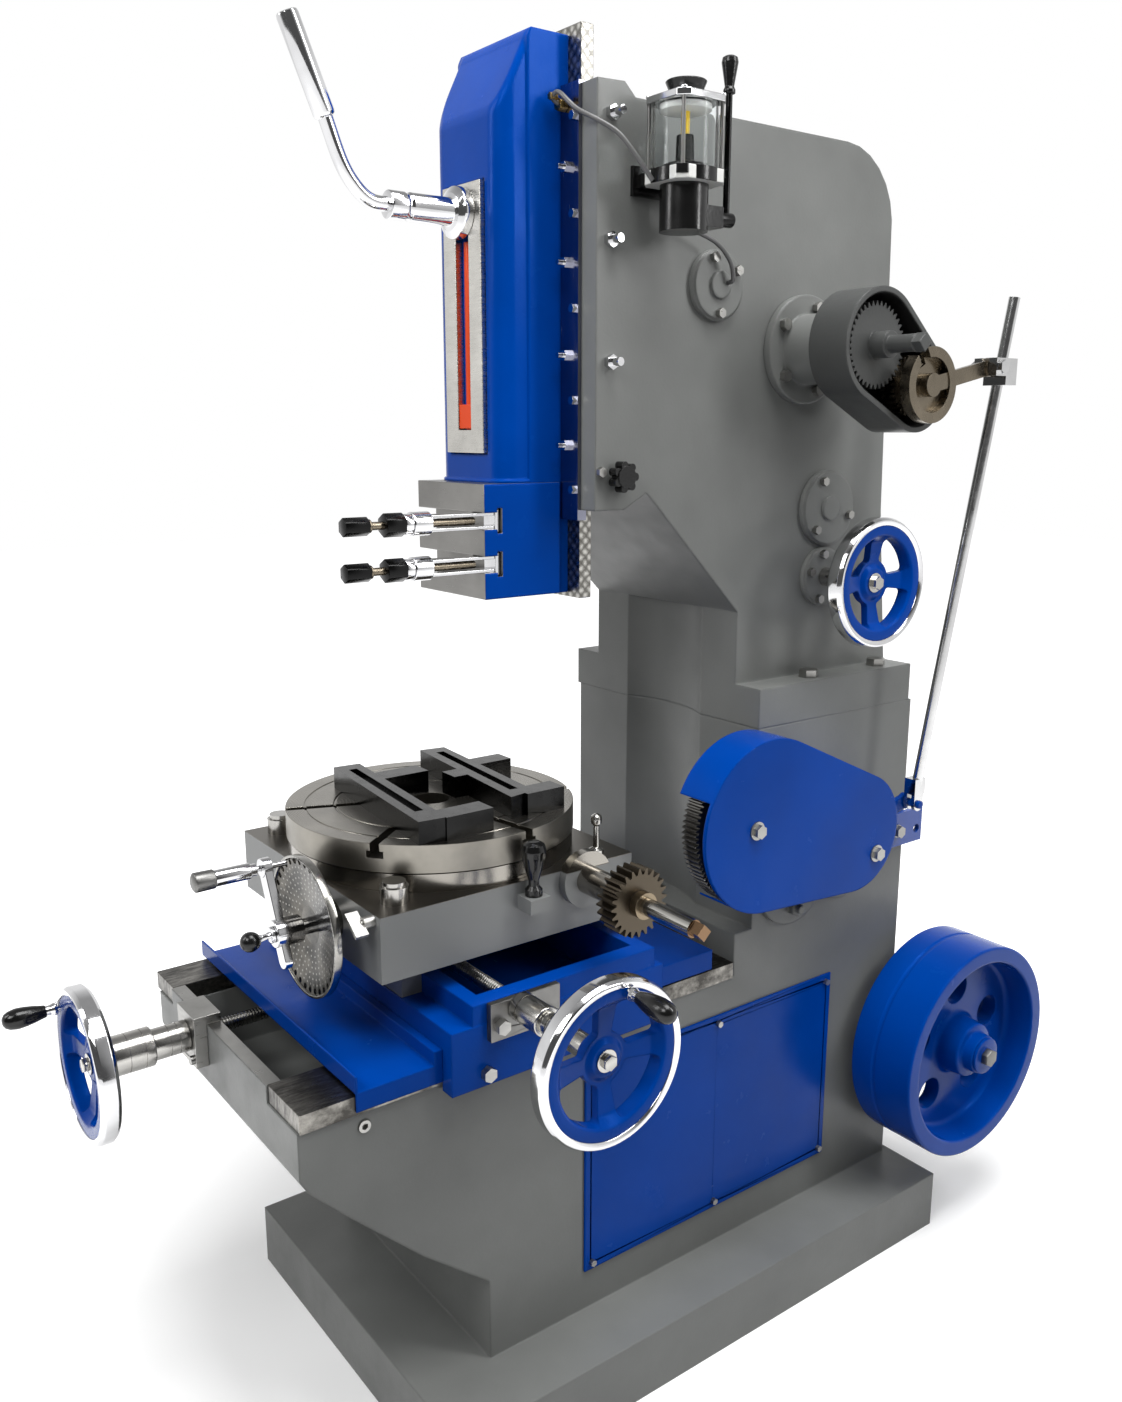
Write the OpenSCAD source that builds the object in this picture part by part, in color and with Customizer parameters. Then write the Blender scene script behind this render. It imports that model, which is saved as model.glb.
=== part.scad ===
// Slotting machine: an upright ram over a cross-sliding rotary table.
// Millimetres. +X is the handwheel side, -Y is the front, +Z is up.
// The origin is the middle of the base plate's underside.

/* [Base] */
// Width of the base plate
plinth_w = 670; // [640:10:720]
// Length of the base plate
plinth_l = 1070; // [1050:10:1140]
// Thickness of the base plate
plinth_h = 108; // [90:2:124]
// Height of the bed slideways above the floor
bed_top = 628; // [620:1:640]
// Thickness of the slideway bars
way_t = 28; // [22:1:34]

/* [Column] */
// Height of the joint between base and column
joint_z = 1023; // [1000:1:1040]
// Thickness of the column's foot flange
flange_t = 66; // [56:1:76]
// Height of the column's flat top
column_top = 1952; // [1940:1:1975]

/* [Ram] */
// Half width of the ram slide
slide_half = 118; // [112:1:119]
// Thickness of the ram slide
slide_t = 22; // [18:1:26]
// Height of the underside of the tool head
head_z = 1257; // [1245:1:1265]
// Height of the tool head
head_h = 167; // [160:1:175]
// Clear width of the tool head's T-slots
tslot_w = 24; // [22:1:26]
// Radius of the stroke screw
stroke_r = 12; // [9:0.5:14]

/* [Table] */
// Radius of the rotary table
table_r = 228; // [220:1:230]
// Thickness of the rotary table
table_t = 43; // [38:1:50]
// Radius of the table's centre bore
table_bore_r = 30; // [20:1:32]
// Height of the table's housing
housing_h = 98; // [94:1:110]
// Width of the table's T-slots
table_slot_w = 14; // [10:1:18]

/* [Drives] */
// Radius of both lead screws
screw_r = 11; // [9:0.5:13]
// Outer radius of the bed and saddle handwheels
wheel_r = 117; // [112:1:125]
// Outer radius of the column handwheel
column_wheel_r = 107; // [98:1:112]
// Outer radius of the flywheel
fly_r = 203; // [190:1:210]
// Width of the flywheel
fly_w = 130; // [110:1:140]
// Tooth size of the guarded gear pair
gear_m = 2.8; // [2.7:0.05:2.8]
// Tooth size of the feed gear pair
feed_m = 3.1; // [3:0.05:3.1]
// Radius of the feed shaft
feed_r = 13; // [10:0.5:15]
// Radius of the oil reservoir
oil_r = 46; // [40:1:47]

/* [Hidden] */
$fn = 48;
fit = 0.05;

// Casting and metal colours
grey = [0.42, 0.43, 0.43];
blue = [0.02, 0.18, 0.60];
steel = [0.66, 0.66, 0.64];
chrome = [0.82, 0.83, 0.85];
black = [0.07, 0.07, 0.08];
brass = [0.60, 0.46, 0.20];
red = [0.65, 0.20, 0.08];

// Base and bed
body_x = [-250, 225];
rear_y = 519;
foot_y = -409;
nose_y = -705;
way_z = bed_top - way_t;
way_r = [129, 229];
way_l = [-316, -240];
wall_y = -683;
pad_y = 88;
pad_z = bed_top + 48;
neck_y = 128;
panel_y = [-230, 333];
panel_z = [178, 541];
flute_c = [-12, neck_y - 188];
flute_r = 212;
drum_c = [350, 770];
drum_t = 7;
under_c = [215, 745];
under_t = 10;
under_stud = [219, 697];
bracket_bolts = [[150, 905], [150, 850]];
foot_bolt = [459, 792];

// Column
ledge_z = joint_z + flange_t;
neck_z = ledge_z + 120;
bay_z = ledge_z + 295;
side = 168;
front_y = -170;

// Ram and its guides
guide_y = -160;
slide_y = [guide_y + fit, guide_y + fit + slide_t];
strip_x = [92, 134];
strip_y = [guide_y - 16, guide_y];
strip_z = [bay_z - 15, column_top + 19];
strip_step = (strip_z[1] - strip_z[0] - 90) / 8;
head_top = head_z + head_h;
ram_top = head_top + 617;
ram_front = -279;
head_front = -314;
plate_y = [ram_front - 7, ram_front + 5];
plate_z = [head_top + 43, head_top + 419];
slot_z = [head_top + 76, head_top + 398];
cavity_z = [head_top + 56, head_top + 406];
lever_z = head_top + 380;
bridge_z = [lever_z - 38, lever_z - 28];
stroke_y = -268;
nut_z = [head_top + 78, head_top + 113];
tee_z = [head_z + 114, head_z + 51];
clamp_x = 72;

// Saddle and table
saddle_x = [way_l[0] - 9, way_r[1] + 26];
saddle_y = [-486, -98];
cross_z = bed_top + 58;
frame_z = bed_top + 89;
frame_y = [-450, -115];
window_x = [-200, 225];
window_y = [-425, -140];
housing_z = bed_top + 127;
housing_top = housing_z + housing_h;
table_c = [-45, -333];
housing_x = [table_c[0] - table_r - 2, table_c[0] + table_r + 7];
housing_y = [table_c[1] - table_r + 6, table_c[1] + table_r - 5];
ring_z = housing_top + 27;
table_z = ring_z + 2;
table_top = table_z + table_t;
slot_turn = -51.5;
pillars = [for (angle = [-42.5, -137.5]) on_circle(table_c, table_r + 31, angle)];
pear_c = [housing_x[1] + 16, -310];
small_c = [housing_x[1] - 19, -166];
wing_c = [170, housing_top - 10];

// Lead screws and handwheels
y_axis = [-123, way_z + 2];
x_axis = [-376, frame_z - 15];
y_rim = -888;
x_rim = 478;
y_grip_at = [-78, 62];
x_grip_at = [24, 95];
column_axis = [323, 1255];
column_rim = 305;

// Guarded gears
big_teeth = 96;
small_teeth = 57;
big_c = [88, 885];
gear_x = [238, 270];
gear_gap = gear_m * (big_teeth + small_teeth) / 2;
gear_dir = -15.7;
small_gear_c = big_c + gear_gap * [cos(gear_dir), sin(gear_dir)];
guard_x = 297;
guard_c = [[87, 885], [300, 830]];
guard_r = [143, 103];
big_stud_r = 15;
small_stud_r = 12;
straps = [[54, 885], [350, 785]];

// Feed drive
upper_teeth = 40;
lower_teeth = 28;
feed_gap = feed_m * (upper_teeth + lower_teeth) / 2;
feed_c = [252, 1626];
feed_dir = -33.4;
lower_c = feed_c + feed_gap * [cos(feed_dir), sin(feed_dir)];
feed_x = [300, 322];
case_x = [262, 335];
case_r = [85, 72];
arm = [150, 31];
clevis = lower_c + arm;
fork = small_gear_c + arm;
rod_low = [300, fork[0], fork[1]];
rod_lean = [70, 83];
rod_high = [rod_low[0] + rod_lean[0], rod_low[1] + rod_lean[1], clevis[1] + 109];
clamp_t = (clevis[1] - 12 - rod_low[2]) / (rod_high[2] - rod_low[2]);
clamp_at = rod_low + clamp_t * (rod_high - rod_low);

// Flywheel
fly_c = [580, 367];
fly_x = 250;
fly_shaft_r = 22;

// Oil pump
oil_c = [233, -67];
oil_z = 1850;
tie_at = (oil_r + 4) / sqrt(2);
pump_pivot = [250, 1790];

// Index crank and worm shaft
index_c = [50, housing_z + 51];
index_plate_y = housing_y[0] - 45;
crank_y = [index_plate_y - 46, index_plate_y - 34];
handle_at = index_c + [-40, 86];
knob_at = [64, crank_y[0] - 44, index_c[1] + 4];
worm_c = [-208, housing_z + 80];
worm_r = 13;

// Round covers: centre, radius, bolt circle, bolt angles
covers = [
    [[57, 1713], 52, 41, [33, 110, 270]],
    [[327, 1371], 63, 49, [-15, 114, 226]],
    [column_axis, 50, 40, [103, 165, 247]]
];
flange_bolt_turn = 75;
ledge_bolts = [[196, 274], [196, 450]];
side_screws = [[-145, 1926], [-147, 1761], [-145, 1595]];
star_c = [-130, 1433];
ring_c = [-162, 1440];
panel_screws = [[-216, 192], [-216, 527], [52, 192], [52, 527], [319, 192], [319, 527]];
x_bolts = [[-411, 682], [-323, 674]];
y_bolts = [[-148, 572], [-98, 572]];
plug_c = [-608, 578];

// A point on a circle in a plane
function on_circle(c, r, a) = c + r * [cos(a), sin(a)];

// A short run of points along an arc
function arc(c, r, a0, a1, n) = [for (i = [0:n]) on_circle(c, r, a0 + (a1 - a0) * i / n)];

// The outline of a spur gear, with a tooth pointing along turn
function gear_points(n, m, turn) = [
    for (i = [0:n - 1])
        for (k = [[-0.36, -1.25], [-0.11, 1], [0.11, 1], [0.36, -1.25]])
            on_circle([0, 0], m * (n / 2 + k[1]), turn + (i + k[0]) * 360 / n)
];

// The outline of a straight bar from one point to another
function strip(p, q, half) =
    let (n = half * [p[1] - q[1], q[0] - p[0]] / norm(q - p))
    [p + n, p - n, q - n, q + n];

// Blocks and round bars between two stated ends
module box(x, y, z) {
    translate([x[0], y[0], z[0]])
        cube([x[1] - x[0], y[1] - y[0], z[1] - z[0]]);
}

module bar_x(r, x, c, sides = 48) {
    translate([x[0], c[0], c[1]])
        rotate([0, 90, 0])
            cylinder(r = r, h = x[1] - x[0], $fn = sides);
}

module bar_y(r, y, c, sides = 48) {
    translate([c[0], y[0], c[1]])
        rotate([-90, 0, 0])
            cylinder(r = r, h = y[1] - y[0], $fn = sides);
}

module bar_z(r, z, c, sides = 48) {
    translate([c[0], c[1], z[0]])
        cylinder(r = r, h = z[1] - z[0], $fn = sides);
}

// A round bar from one point to another
module rod(p, q, r) {
    d = q - p;
    translate(p)
        rotate([0, acos(d[2] / norm(d)), atan2(d[1], d[0])])
            cylinder(r = r, h = norm(d));
}

// A round bar that ends in a ball
module ball_lever(p, q, r, ball) {
    d = q - p;
    low = asin(r / ball);
    translate(p)
        rotate([0, acos(d[2] / norm(d)), atan2(d[1], d[0])])
            rotate_extrude()
                polygon(concat([[0, 0], [r, 0]], arc([0, norm(d)], ball, low - 90, 90, 12)));
}

// A bent round bar through a list of points
module bent_rod(points, r) {
    for (i = [0:len(points) - 2])
        rod(points[i], points[i + 1], r);
    for (i = [1:len(points) - 2])
        translate(points[i])
            sphere(r = r * 1.08);
}

// Outlines drawn in the side view and carried across the machine
module prism_x(points, x) {
    translate([x[0], 0, 0])
        rotate([90, 0, 90])
            linear_extrude(x[1] - x[0])
                polygon(points);
}

// Outlines drawn in the front view and carried along the machine
module prism_y(points, y) {
    translate([0, y[1], 0])
        rotate([90, 0, 0])
            linear_extrude(y[1] - y[0])
                polygon(points);
}

module gear_x_axis(n, m, turn, x, c) {
    translate([x[0], c[0], c[1]])
        rotate([90, 0, 90])
            linear_extrude(x[1] - x[0])
                polygon(gear_points(n, m, turn));
}

// Two round lobes joined by their common tangents
module lobes(c, r, x) {
    d = c[1] - c[0];
    dir = atan2(d[1], d[0]);
    spread = acos((r[0] - r[1]) / norm(d));
    bar_x(r[0], x, c[0]);
    bar_x(r[1], x, c[1]);
    prism_x([
        on_circle(c[0], r[0], dir + spread),
        on_circle(c[1], r[1], dir + spread),
        on_circle(c[1], r[1], dir - spread),
        on_circle(c[0], r[0], dir - spread)
    ], x);
}

// A hex-headed bolt whose head sits on a side face
module bolt_x(x, c, r, depth, washer = 0) {
    bar_x(r, [x - depth, x + 1], c);
    if (washer > 0)
        bar_x(washer, [x, x + 2.5], c);
    bar_x(r * 1.9, [x + (washer > 0 ? 2.5 : 0), x + r * 1.5 + 2.5], c, 6);
}

module bolt_hole_x(x, c, r, depth) {
    bar_x(r + fit, [x - depth - 1, x + 1], c);
}

// A four-spoked handwheel with its rim's front face on the origin
module handwheel(r, grip = [0, 0]) {
    difference() {
        union() {
            rotate_extrude()
                polygon([
                    [r - 28, -6], [r - 23, -2], [r - 10, -2], [r - 8, 0], [r - 3, 0],
                    [r, -4], [r, -26], [r - 4, -30], [r - 22, -30], [r - 28, -26]
                ]);
            translate([0, 0, -48])
                cylinder(r = 27, h = 28);
            for (i = [0:3])
                rotate([0, 0, i * 90])
                    translate([20, -12, -36])
                        cube([r - 45, 24, 20]);
        }
        translate([0, 0, -49])
            cylinder(r = screw_r + fit, h = 30);
        if (norm(grip) > 0)
            translate([grip[0], grip[1], -31])
                cylinder(r = 6 + fit, h = 32);
    }
}

// A turned grip with the pin that carries it
module grip(length) {
    translate([0, 0, -29])
        cylinder(r = 6, h = 40);
    rotate_extrude()
        polygon([
            [0, 0.3], [9, 0.3], [10, 5], [10, 12], [13, 20], [15.5, length * 0.55],
            [15, length * 0.75], [12, length * 0.9], [7, length - 1], [0, length]
        ]);
}

// Base casting: foot plate, raked body, bed nose and column seat
module base() {
    color(grey)
    difference() {
        union() {
            box([-plinth_w / 2, plinth_w / 2], [-plinth_l / 2, plinth_l / 2], [0, plinth_h]);
            prism_x([
                [foot_y, plinth_h - 1], [foot_y, plinth_h + 134], [-521, 336], [-635, 448],
                [-693, 508], [nose_y, 530], [nose_y, way_z], [pad_y, way_z],
                [pad_y, pad_z], [neck_y, pad_z], [neck_y, joint_z],
                [rear_y, joint_z], [rear_y, plinth_h - 1]
            ], body_x);
            prism_y([[-300, way_z], [-300, way_z - 55], [-225, way_z - 70], [-225, way_z]], [nose_y, 84]);
            box([way_l[1], way_r[0]], [nose_y, wall_y], [way_z - 1, bed_top - 1]);
            difference() {
                bar_x(87, [220, body_x[1] + drum_t], drum_c);
                bar_x(78 + 0.3, [body_x[1], 240], under_c);
            }
        }
        box([way_l[1], way_r[0]], [wall_y, pad_y], [500, way_z + 80]);
        translate([0, 0, pad_z])
            linear_extrude(joint_z - pad_z + 1)
                translate(flute_c)
                    circle(r = flute_r);
        bar_y(screw_r + 1, [nose_y - 1, wall_y + 1], y_axis);
        bar_y(screw_r + fit, [pad_y - 1, pad_y + 31], y_axis);
        for (c = y_bolts)
            bar_y(4 + fit, [nose_y - 1, nose_y + 18], c);
        bar_x(small_stud_r + fit, [185, body_x[1] + drum_t + 1], small_gear_c);
        bar_x(8 + fit, [200, body_x[1] + 16], under_stud);
        bar_x(9 + fit, [body_x[1] - 14, body_x[1] + 1], plug_c);
        for (c = panel_screws)
            bolt_hole_x(body_x[1], c, 3, 14);
        for (c = bracket_bolts)
            bolt_hole_x(body_x[1], c, 5, 20);
        bolt_hole_x(body_x[1], foot_bolt, 6, 20);
        for (z = [325, 409])
            bar_y(6 + fit, [rear_y - 25, rear_y + 1], [100, z]);
        for (c = ledge_bolts)
            bar_z(9 + fit, [joint_z - 21, joint_z + 1], c);
    }
}

// Two hard slideway bars on top of the bed
module bed_ways() {
    color(steel) {
        box(way_r, [nose_y + 2, pad_y - 4], [way_z, bed_top]);
        box(way_l, [nose_y + 2, pad_y - 4], [way_z, bed_top]);
    }
}

// Access cover on the side of the base
module side_panel() {
    color(blue)
    difference() {
        box([body_x[1], body_x[1] + 4], panel_y, panel_z);
        for (c = panel_screws)
            bolt_hole_x(body_x[1] + 4, c, 3, 8);
    }
}

// Column casting with the ram's channel down its front
module column() {
    floor_y = slide_y[1] + fit;
    color(grey)
    difference() {
        union() {
            box([-258, body_x[1]], [neck_y, rear_y - 7], [joint_z, ledge_z]);
            prism_x(concat([
                [neck_y, ledge_z - 1], [neck_y, neck_z], [-50, bay_z + 3], [-72, bay_z + 24],
                [-115, bay_z], [front_y, bay_z], [front_y, column_top + 16],
                [-122, column_top + 18], [-102, column_top]
            ], arc([343, column_top - 120], 120, 90, 6, 6), [[476, 1361], [507, ledge_z - 1]]), [-196, side]);
        }
        translate([0, 0, joint_z - 1])
            linear_extrude(neck_z - joint_z + 1)
                translate(flute_c)
                    circle(r = flute_r);
        box([-slide_half - fit, slide_half + fit], [front_y - 1, floor_y], [bay_z - 1, column_top + 60]);
        box([-strip_x[1], strip_x[1]], [front_y - 1, guide_y], [bay_z - 1, column_top + 60]);
        for (s = [-1, 1], i = [0:4])
            bar_y(5 + fit, [guide_y - 1, guide_y + 17], [s * 127, strip_z[0] + 45 + 2 * i * strip_step]);
        for (c = covers, a = c[3])
            bolt_hole_x(side, on_circle(c[0], c[2], a), 4, 14);
        for (i = [0:4])
            bolt_hole_x(side, on_circle(feed_c, 67, flange_bolt_turn + 72 * i), 5, 16);
        for (c = side_screws)
            bolt_hole_x(side, c, 6, 30);
        bolt_hole_x(side, star_c, 6, 22);
        bolt_hole_x(side, ring_c, 4, 16);
        bolt_hole_x(side, [-40, 1840], 5, 16);
        bar_x(feed_r + fit, [130, side + 1], feed_c);
        bar_x(screw_r + fit, [130, side + 1], column_axis);
        for (c = ledge_bolts)
            bar_z(9 + fit, [joint_z - 1, ledge_z + 1], c);
    }
}

// Keeper strips that hold the slide in its channel
module guide_strips() {
    color(steel)
    for (s = [-1, 1])
        difference() {
            box(s > 0 ? strip_x : [-strip_x[1], -strip_x[0]], strip_y, strip_z);
            for (i = [0:4])
                bar_y(5 + fit, [strip_y[0] - 1, strip_y[1] + 1], [s * 127, strip_z[0] + 45 + 2 * i * strip_step]);
            for (i = [0:3])
                bar_y(4 + fit, [strip_y[0] - 1, strip_y[1] - 4], [s * 108, strip_z[0] + 45 + (2 * i + 1) * strip_step]);
            if (s > 0)
                bar_y(5 + fit, [strip_y[0] - 1, strip_y[1] - 4], [103, strip_z[1] - 28]);
        }
}

// Strip bolts, their adjusters and the side set screws
module set_screws() {
    color(steel) {
        for (s = [-1, 1], i = [0:4]) {
            at = [s * 127, strip_z[0] + 45 + 2 * i * strip_step];
            bar_y(5, [strip_y[0] - 1, guide_y + 15], at);
            bar_y(6.5, [strip_y[0] - 8, strip_y[0]], at, 6);
        }
        for (s = [-1, 1], i = [0:3]) {
            at = [s * 108, strip_z[0] + 45 + (2 * i + 1) * strip_step];
            bar_y(4, [strip_y[0] - 18, strip_y[1] - 5], at);
            bar_y(8, [strip_y[0] - 8, strip_y[0]], at, 6);
        }
        for (c = side_screws) {
            bar_x(6, [side - 29, side + 26], c);
            bar_x(11, [side, side + 9], c, 6);
        }
    }
}

// Hex bolts that hold the fixed pieces together
module frame_bolts() {
    color(steel) {
        for (c = ledge_bolts) {
            bar_z(9, [joint_z - 20, ledge_z + 1], c);
            bar_z(17, [ledge_z, ledge_z + 13], c, 6);
        }
        for (c = covers, a = c[3])
            bolt_x(side + 12, on_circle(c[0], c[2], a), 4, 24);
        for (i = [0:4])
            bolt_x(side + 14, on_circle(feed_c, 67, flange_bolt_turn + 72 * i), 5, 28);
        for (c = straps)
            bolt_x(guard_x + 3, c, 6, 12, 15);
        for (c = panel_screws)
            bolt_x(body_x[1] + 4, c, 3, 16);
        for (c = bracket_bolts) {
            bar_x(5, [body_x[1] - 19, body_x[1] + 8], c);
            bar_x(9, [body_x[1] + 7, body_x[1] + 10], c);
        }
        bolt_x(258, foot_bolt, 6, 50, 12);
        bolt_x(side + 6, [-40, 1840], 5, 20);
        bolt_x(side, ring_c, 4, 15);
        for (z = [325, 409]) {
            bar_y(6, [rear_y - 24, rear_y + 22], [100, z]);
            bar_y(11, [rear_y + 20, rear_y + 28], [100, z], 6);
        }
        for (c = y_bolts) {
            bar_y(4, [nose_y - 21, nose_y + 17], c);
            bar_y(7, [nose_y - 26, nose_y - 20], c);
        }
        difference() {
            bar_x(9, [body_x[1] - 13, body_x[1] + 3], plug_c);
            bar_x(5, [body_x[1] - 3, body_x[1] + 4], plug_c, 6);
        }
    }
}

// Bearing covers on the column side and the one under the guard
module round_covers() {
    color(grey) {
        for (i = [0:2]) {
            c = covers[i];
            difference() {
                union() {
                    bar_x(c[1], [side, side + 9], c[0]);
                    bar_x(c[1] - 3, [side, side + 12], c[0]);
                    if (i < 2)
                        bar_x(20, [side, side + 17], c[0]);
                }
                for (a = c[3])
                    bolt_hole_x(side + 12, on_circle(c[0], c[2], a), 4, 14);
                if (i == 0)
                    bar_x(3 + fit, [side + 8, side + 18], c[0] + [12, 4]);
                if (i == 2)
                    bar_x(screw_r + fit, [side - 1, side + 13], c[0]);
            }
        }
        bar_x(78, [body_x[1], body_x[1] + under_t], under_c);
        bar_x(8, [body_x[1] - 22, body_x[1] + 30], under_stud);
        bar_x(15, [body_x[1] + under_t - 1, body_x[1] + under_t + 11], under_stud, 6);
    }
}

// Lobed lock knob beside the ram guide
module star_knob() {
    color(black) {
        bar_x(6, [side - 20, side + 20], star_c);
        bar_x(16, [side + 8, side + 26], star_c);
        for (i = [0:6])
            bar_x(6, [side + 8, side + 24], on_circle(star_c, 17, i * 360 / 7));
    }
}

// Square plate with cut corners that the tie rods pass through
module tie_plate(z) {
    a = tie_at + 9;
    b = tie_at - 1;
    translate([oil_c[0], oil_c[1], z[0]])
        linear_extrude(z[1] - z[0])
            polygon([[a, b], [b, a], [-b, a], [-a, b], [-a, -b], [-b, -a], [b, -a], [a, -b]]);
}

// Hand oil pump: bracket, body and the lever's lug
module pump_body() {
    color(black)
    difference() {
        union() {
            box([side, side + 6], [-110, -24], [1822, 1862]);
            box([side + 5, oil_c[0]], [-103, -84], [1834, oil_z]);
            bar_z(oil_r + 3, [oil_z - 18, oil_z], oil_c);
            tie_plate([oil_z - 12, oil_z]);
            bar_z(34, [oil_z - 80, oil_z - 17], oil_c);
            box([236, 264], [oil_c[1], -20], [1776, 1804]);
        }
        bar_y(5 + fit, [-45, -19], pump_pivot);
        bolt_hole_x(side + 6, [-40, 1840], 5, 8);
        translate([oil_c[0] - 42, -60, 1790])
            rotate([0, 90, 0])
                cylinder(r = 3 + fit, h = 14);
        for (s = [-1, 1], t = [-1, 1])
            bar_z(3 + fit, [oil_z - 11, oil_z + 1], oil_c + [s, t] * tie_at);
    }
}

// Clear reservoir tube
module pump_glass() {
    color([0.8, 0.85, 0.85, 0.6])
    difference() {
        bar_z(oil_r, [oil_z, oil_z + 85], oil_c);
        bar_z(oil_r - 4, [oil_z - 1, oil_z + 86], oil_c);
    }
}

// Reservoir lid, its tie rods and the filler cap
module pump_caps() {
    color(steel) {
        tie_plate([oil_z + 85, oil_z + 95]);
        bar_z(24, [oil_z + 94, oil_z + 106], oil_c);
        bar_z(28, [oil_z + 105, oil_z + 115], oil_c);
        for (s = [-1, 1], t = [-1, 1])
            bar_z(3, [oil_z - 10, oil_z + 86], oil_c + [s, t] * tie_at);
    }
}

// Pump lever on its pin
module pump_lever() {
    color(black) {
        bar_y(5, [-43, -1], pump_pivot);
        bar_y(10, [-19, 8], pump_pivot);
        bar_z(5, [pump_pivot[1], 1965], [pump_pivot[0], -2]);
        translate([pump_pivot[0], -2, 0])
            rotate_extrude()
                polygon([[0, 1955], [9, 1955], [9, 1961], [7, 1966], [12, 1992], [10, 2002], [0, 2004]]);
    }
}

// Oil tube to the side cover and oil pipe round to the keeper strip
module oil_pipes() {
    fitting = [103, strip_z[1] - 28];
    inlet = [-0.2, -0.98];
    near = oil_c + (oil_r + 4.4) * inlet;
    far = oil_c + (oil_r + 22) * inlet;
    color(brass) {
        bent_rod([
            [oil_c[0] - 30, -60, 1790], [198, -60, 1790], [192, -20, 1786], [196, 30, 1770],
            [197, 62, 1745], [197, 69, 1725], [191, 69, 1717], [side + 9, 69, 1717]
        ], 3);
        bar_y(5, [strip_y[0] - 12, strip_y[1] - 5], fitting);
        bar_y(9, [strip_y[0] - 14, strip_y[0]], fitting, 6);
        bent_rod([
            [fitting[0], strip_y[0] - 10, fitting[1]], [fitting[0], strip_y[0] - 24, fitting[1] + 8],
            [118, -196, fitting[1] + 12], [146, -190, fitting[1] - 16], [176, -176, fitting[1] - 30],
            [196, -158, fitting[1] - 44], [far[0], far[1], 1848], [near[0], near[1], 1834]
        ], 3);
    }
}

// Flange and hub that carry the feed case
module feed_flange() {
    color(grey)
    difference() {
        union() {
            bar_x(85, [side, side + 14], feed_c);
            bar_x(55, [side + 13, case_x[0]], feed_c);
        }
        bar_x(feed_r + fit, [side - 1, case_x[0] + 1], feed_c);
        for (i = [0:4])
            bolt_hole_x(side + 14, on_circle(feed_c, 67, flange_bolt_turn + 72 * i), 5, 14);
    }
}

// Open-fronted case round the feed gears, with the lower gear's stud
module feed_case() {
    color(grey) {
        difference() {
            lobes([feed_c, lower_c], case_r, case_x);
            lobes([feed_c, lower_c], case_r - [8, 8], [case_x[0] + 8, case_x[1] + 1]);
            bar_x(feed_r + fit, [case_x[0] - 1, case_x[0] + 9], feed_c);
        }
        bar_x(12, [case_x[0] + 7, 344], lower_c);
    }
}

// Feed shaft with its gear, ratchet and squared end
module feed_gear() {
    color(steel) {
        gear_x_axis(upper_teeth, feed_m, feed_dir, feed_x, feed_c);
        gear_x_axis(20, 2.8, 0, [case_x[0] + 12, feed_x[0] + 1], feed_c);
        bar_x(20, [feed_x[1] - 1, 350], feed_c);
        bar_x(feed_r, [140, 396], feed_c);
        bar_x(feed_r + 1, [395, 412], feed_c, 4);
    }
}

// Lower feed gear, its slotted ring and the long arm
module feed_lever() {
    color(steel) {
        difference() {
            union() {
                gear_x_axis(lower_teeth, feed_m, feed_dir + 180 + 180 / lower_teeth, feed_x, lower_c);
                bar_x(18, [feed_x[1] - 1, 366], lower_c);
            }
            bar_x(12 + fit, [feed_x[0] - 1, 345], lower_c);
        }
        difference() {
            bar_x(58, [346, 364], lower_c);
            bar_x(42, [351, 368], lower_c);
            translate([0, lower_c[0], lower_c[1]])
                rotate([120, 0, 0])
                    box([340, 370], [30, 70], [-12, 12]);
        }
        difference() {
            union() {
                prism_x(strip(lower_c, clevis, 12), [354, 362]);
                bar_x(15, [353, 365], clevis);
            }
            bar_x(6 + fit, [350, 368], clevis);
        }
    }
}

// Long link rod with its clamp block above and its fork below
module link_rod() {
    along = (rod_high - rod_low) / norm(rod_high - rod_low);
    color(steel) {
        rod(rod_low + 36 * along, rod_high, 9);
        difference() {
            union() {
                box([338, 380], [clevis[0] + 15, clevis[0] + 44], [clamp_at[2] - 16, clamp_at[2] + 26]);
                for (x = [[338, 352.5], [365.5, 380]])
                    box(x, [clevis[0] - 12, clevis[0] + 16], [clevis[1] - 14, clevis[1] + 14]);
            }
            bar_x(6 + fit, [337, 352], clevis);
            bar_x(6 + fit, [366, 381], clevis);
        }
        bar_x(6, [332, 386], clevis);
        bar_x(11, [380, 388], clevis, 6);
        bar_x(11, [330, 338], clevis, 6);
        difference() {
            union() {
                box([288.5, 311.5], [fork[0] - 12, fork[0] + 16], [fork[1] + 18, fork[1] + 46]);
                for (x = [[288.5, 295.5], [304.5, 311.5]]) {
                    box(x, [fork[0] - 12, fork[0] + 12], [fork[1], fork[1] + 20]);
                    bar_x(12, x, fork);
                }
            }
            bar_x(7 + 0.3, [287, 313], fork);
        }
    }
}

// Lower arm on the pinion's stud
module lower_arm() {
    color(black)
    difference() {
        union() {
            bar_x(20, [276, 286], small_gear_c);
            prism_x(strip(small_gear_c, fork, 12), [276, 286]);
            bar_x(14, [276, 286], fork);
            bar_x(7, [285, 316], fork);
        }
        bar_x(small_stud_r + fit, [275, 287], small_gear_c);
    }
}

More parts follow.
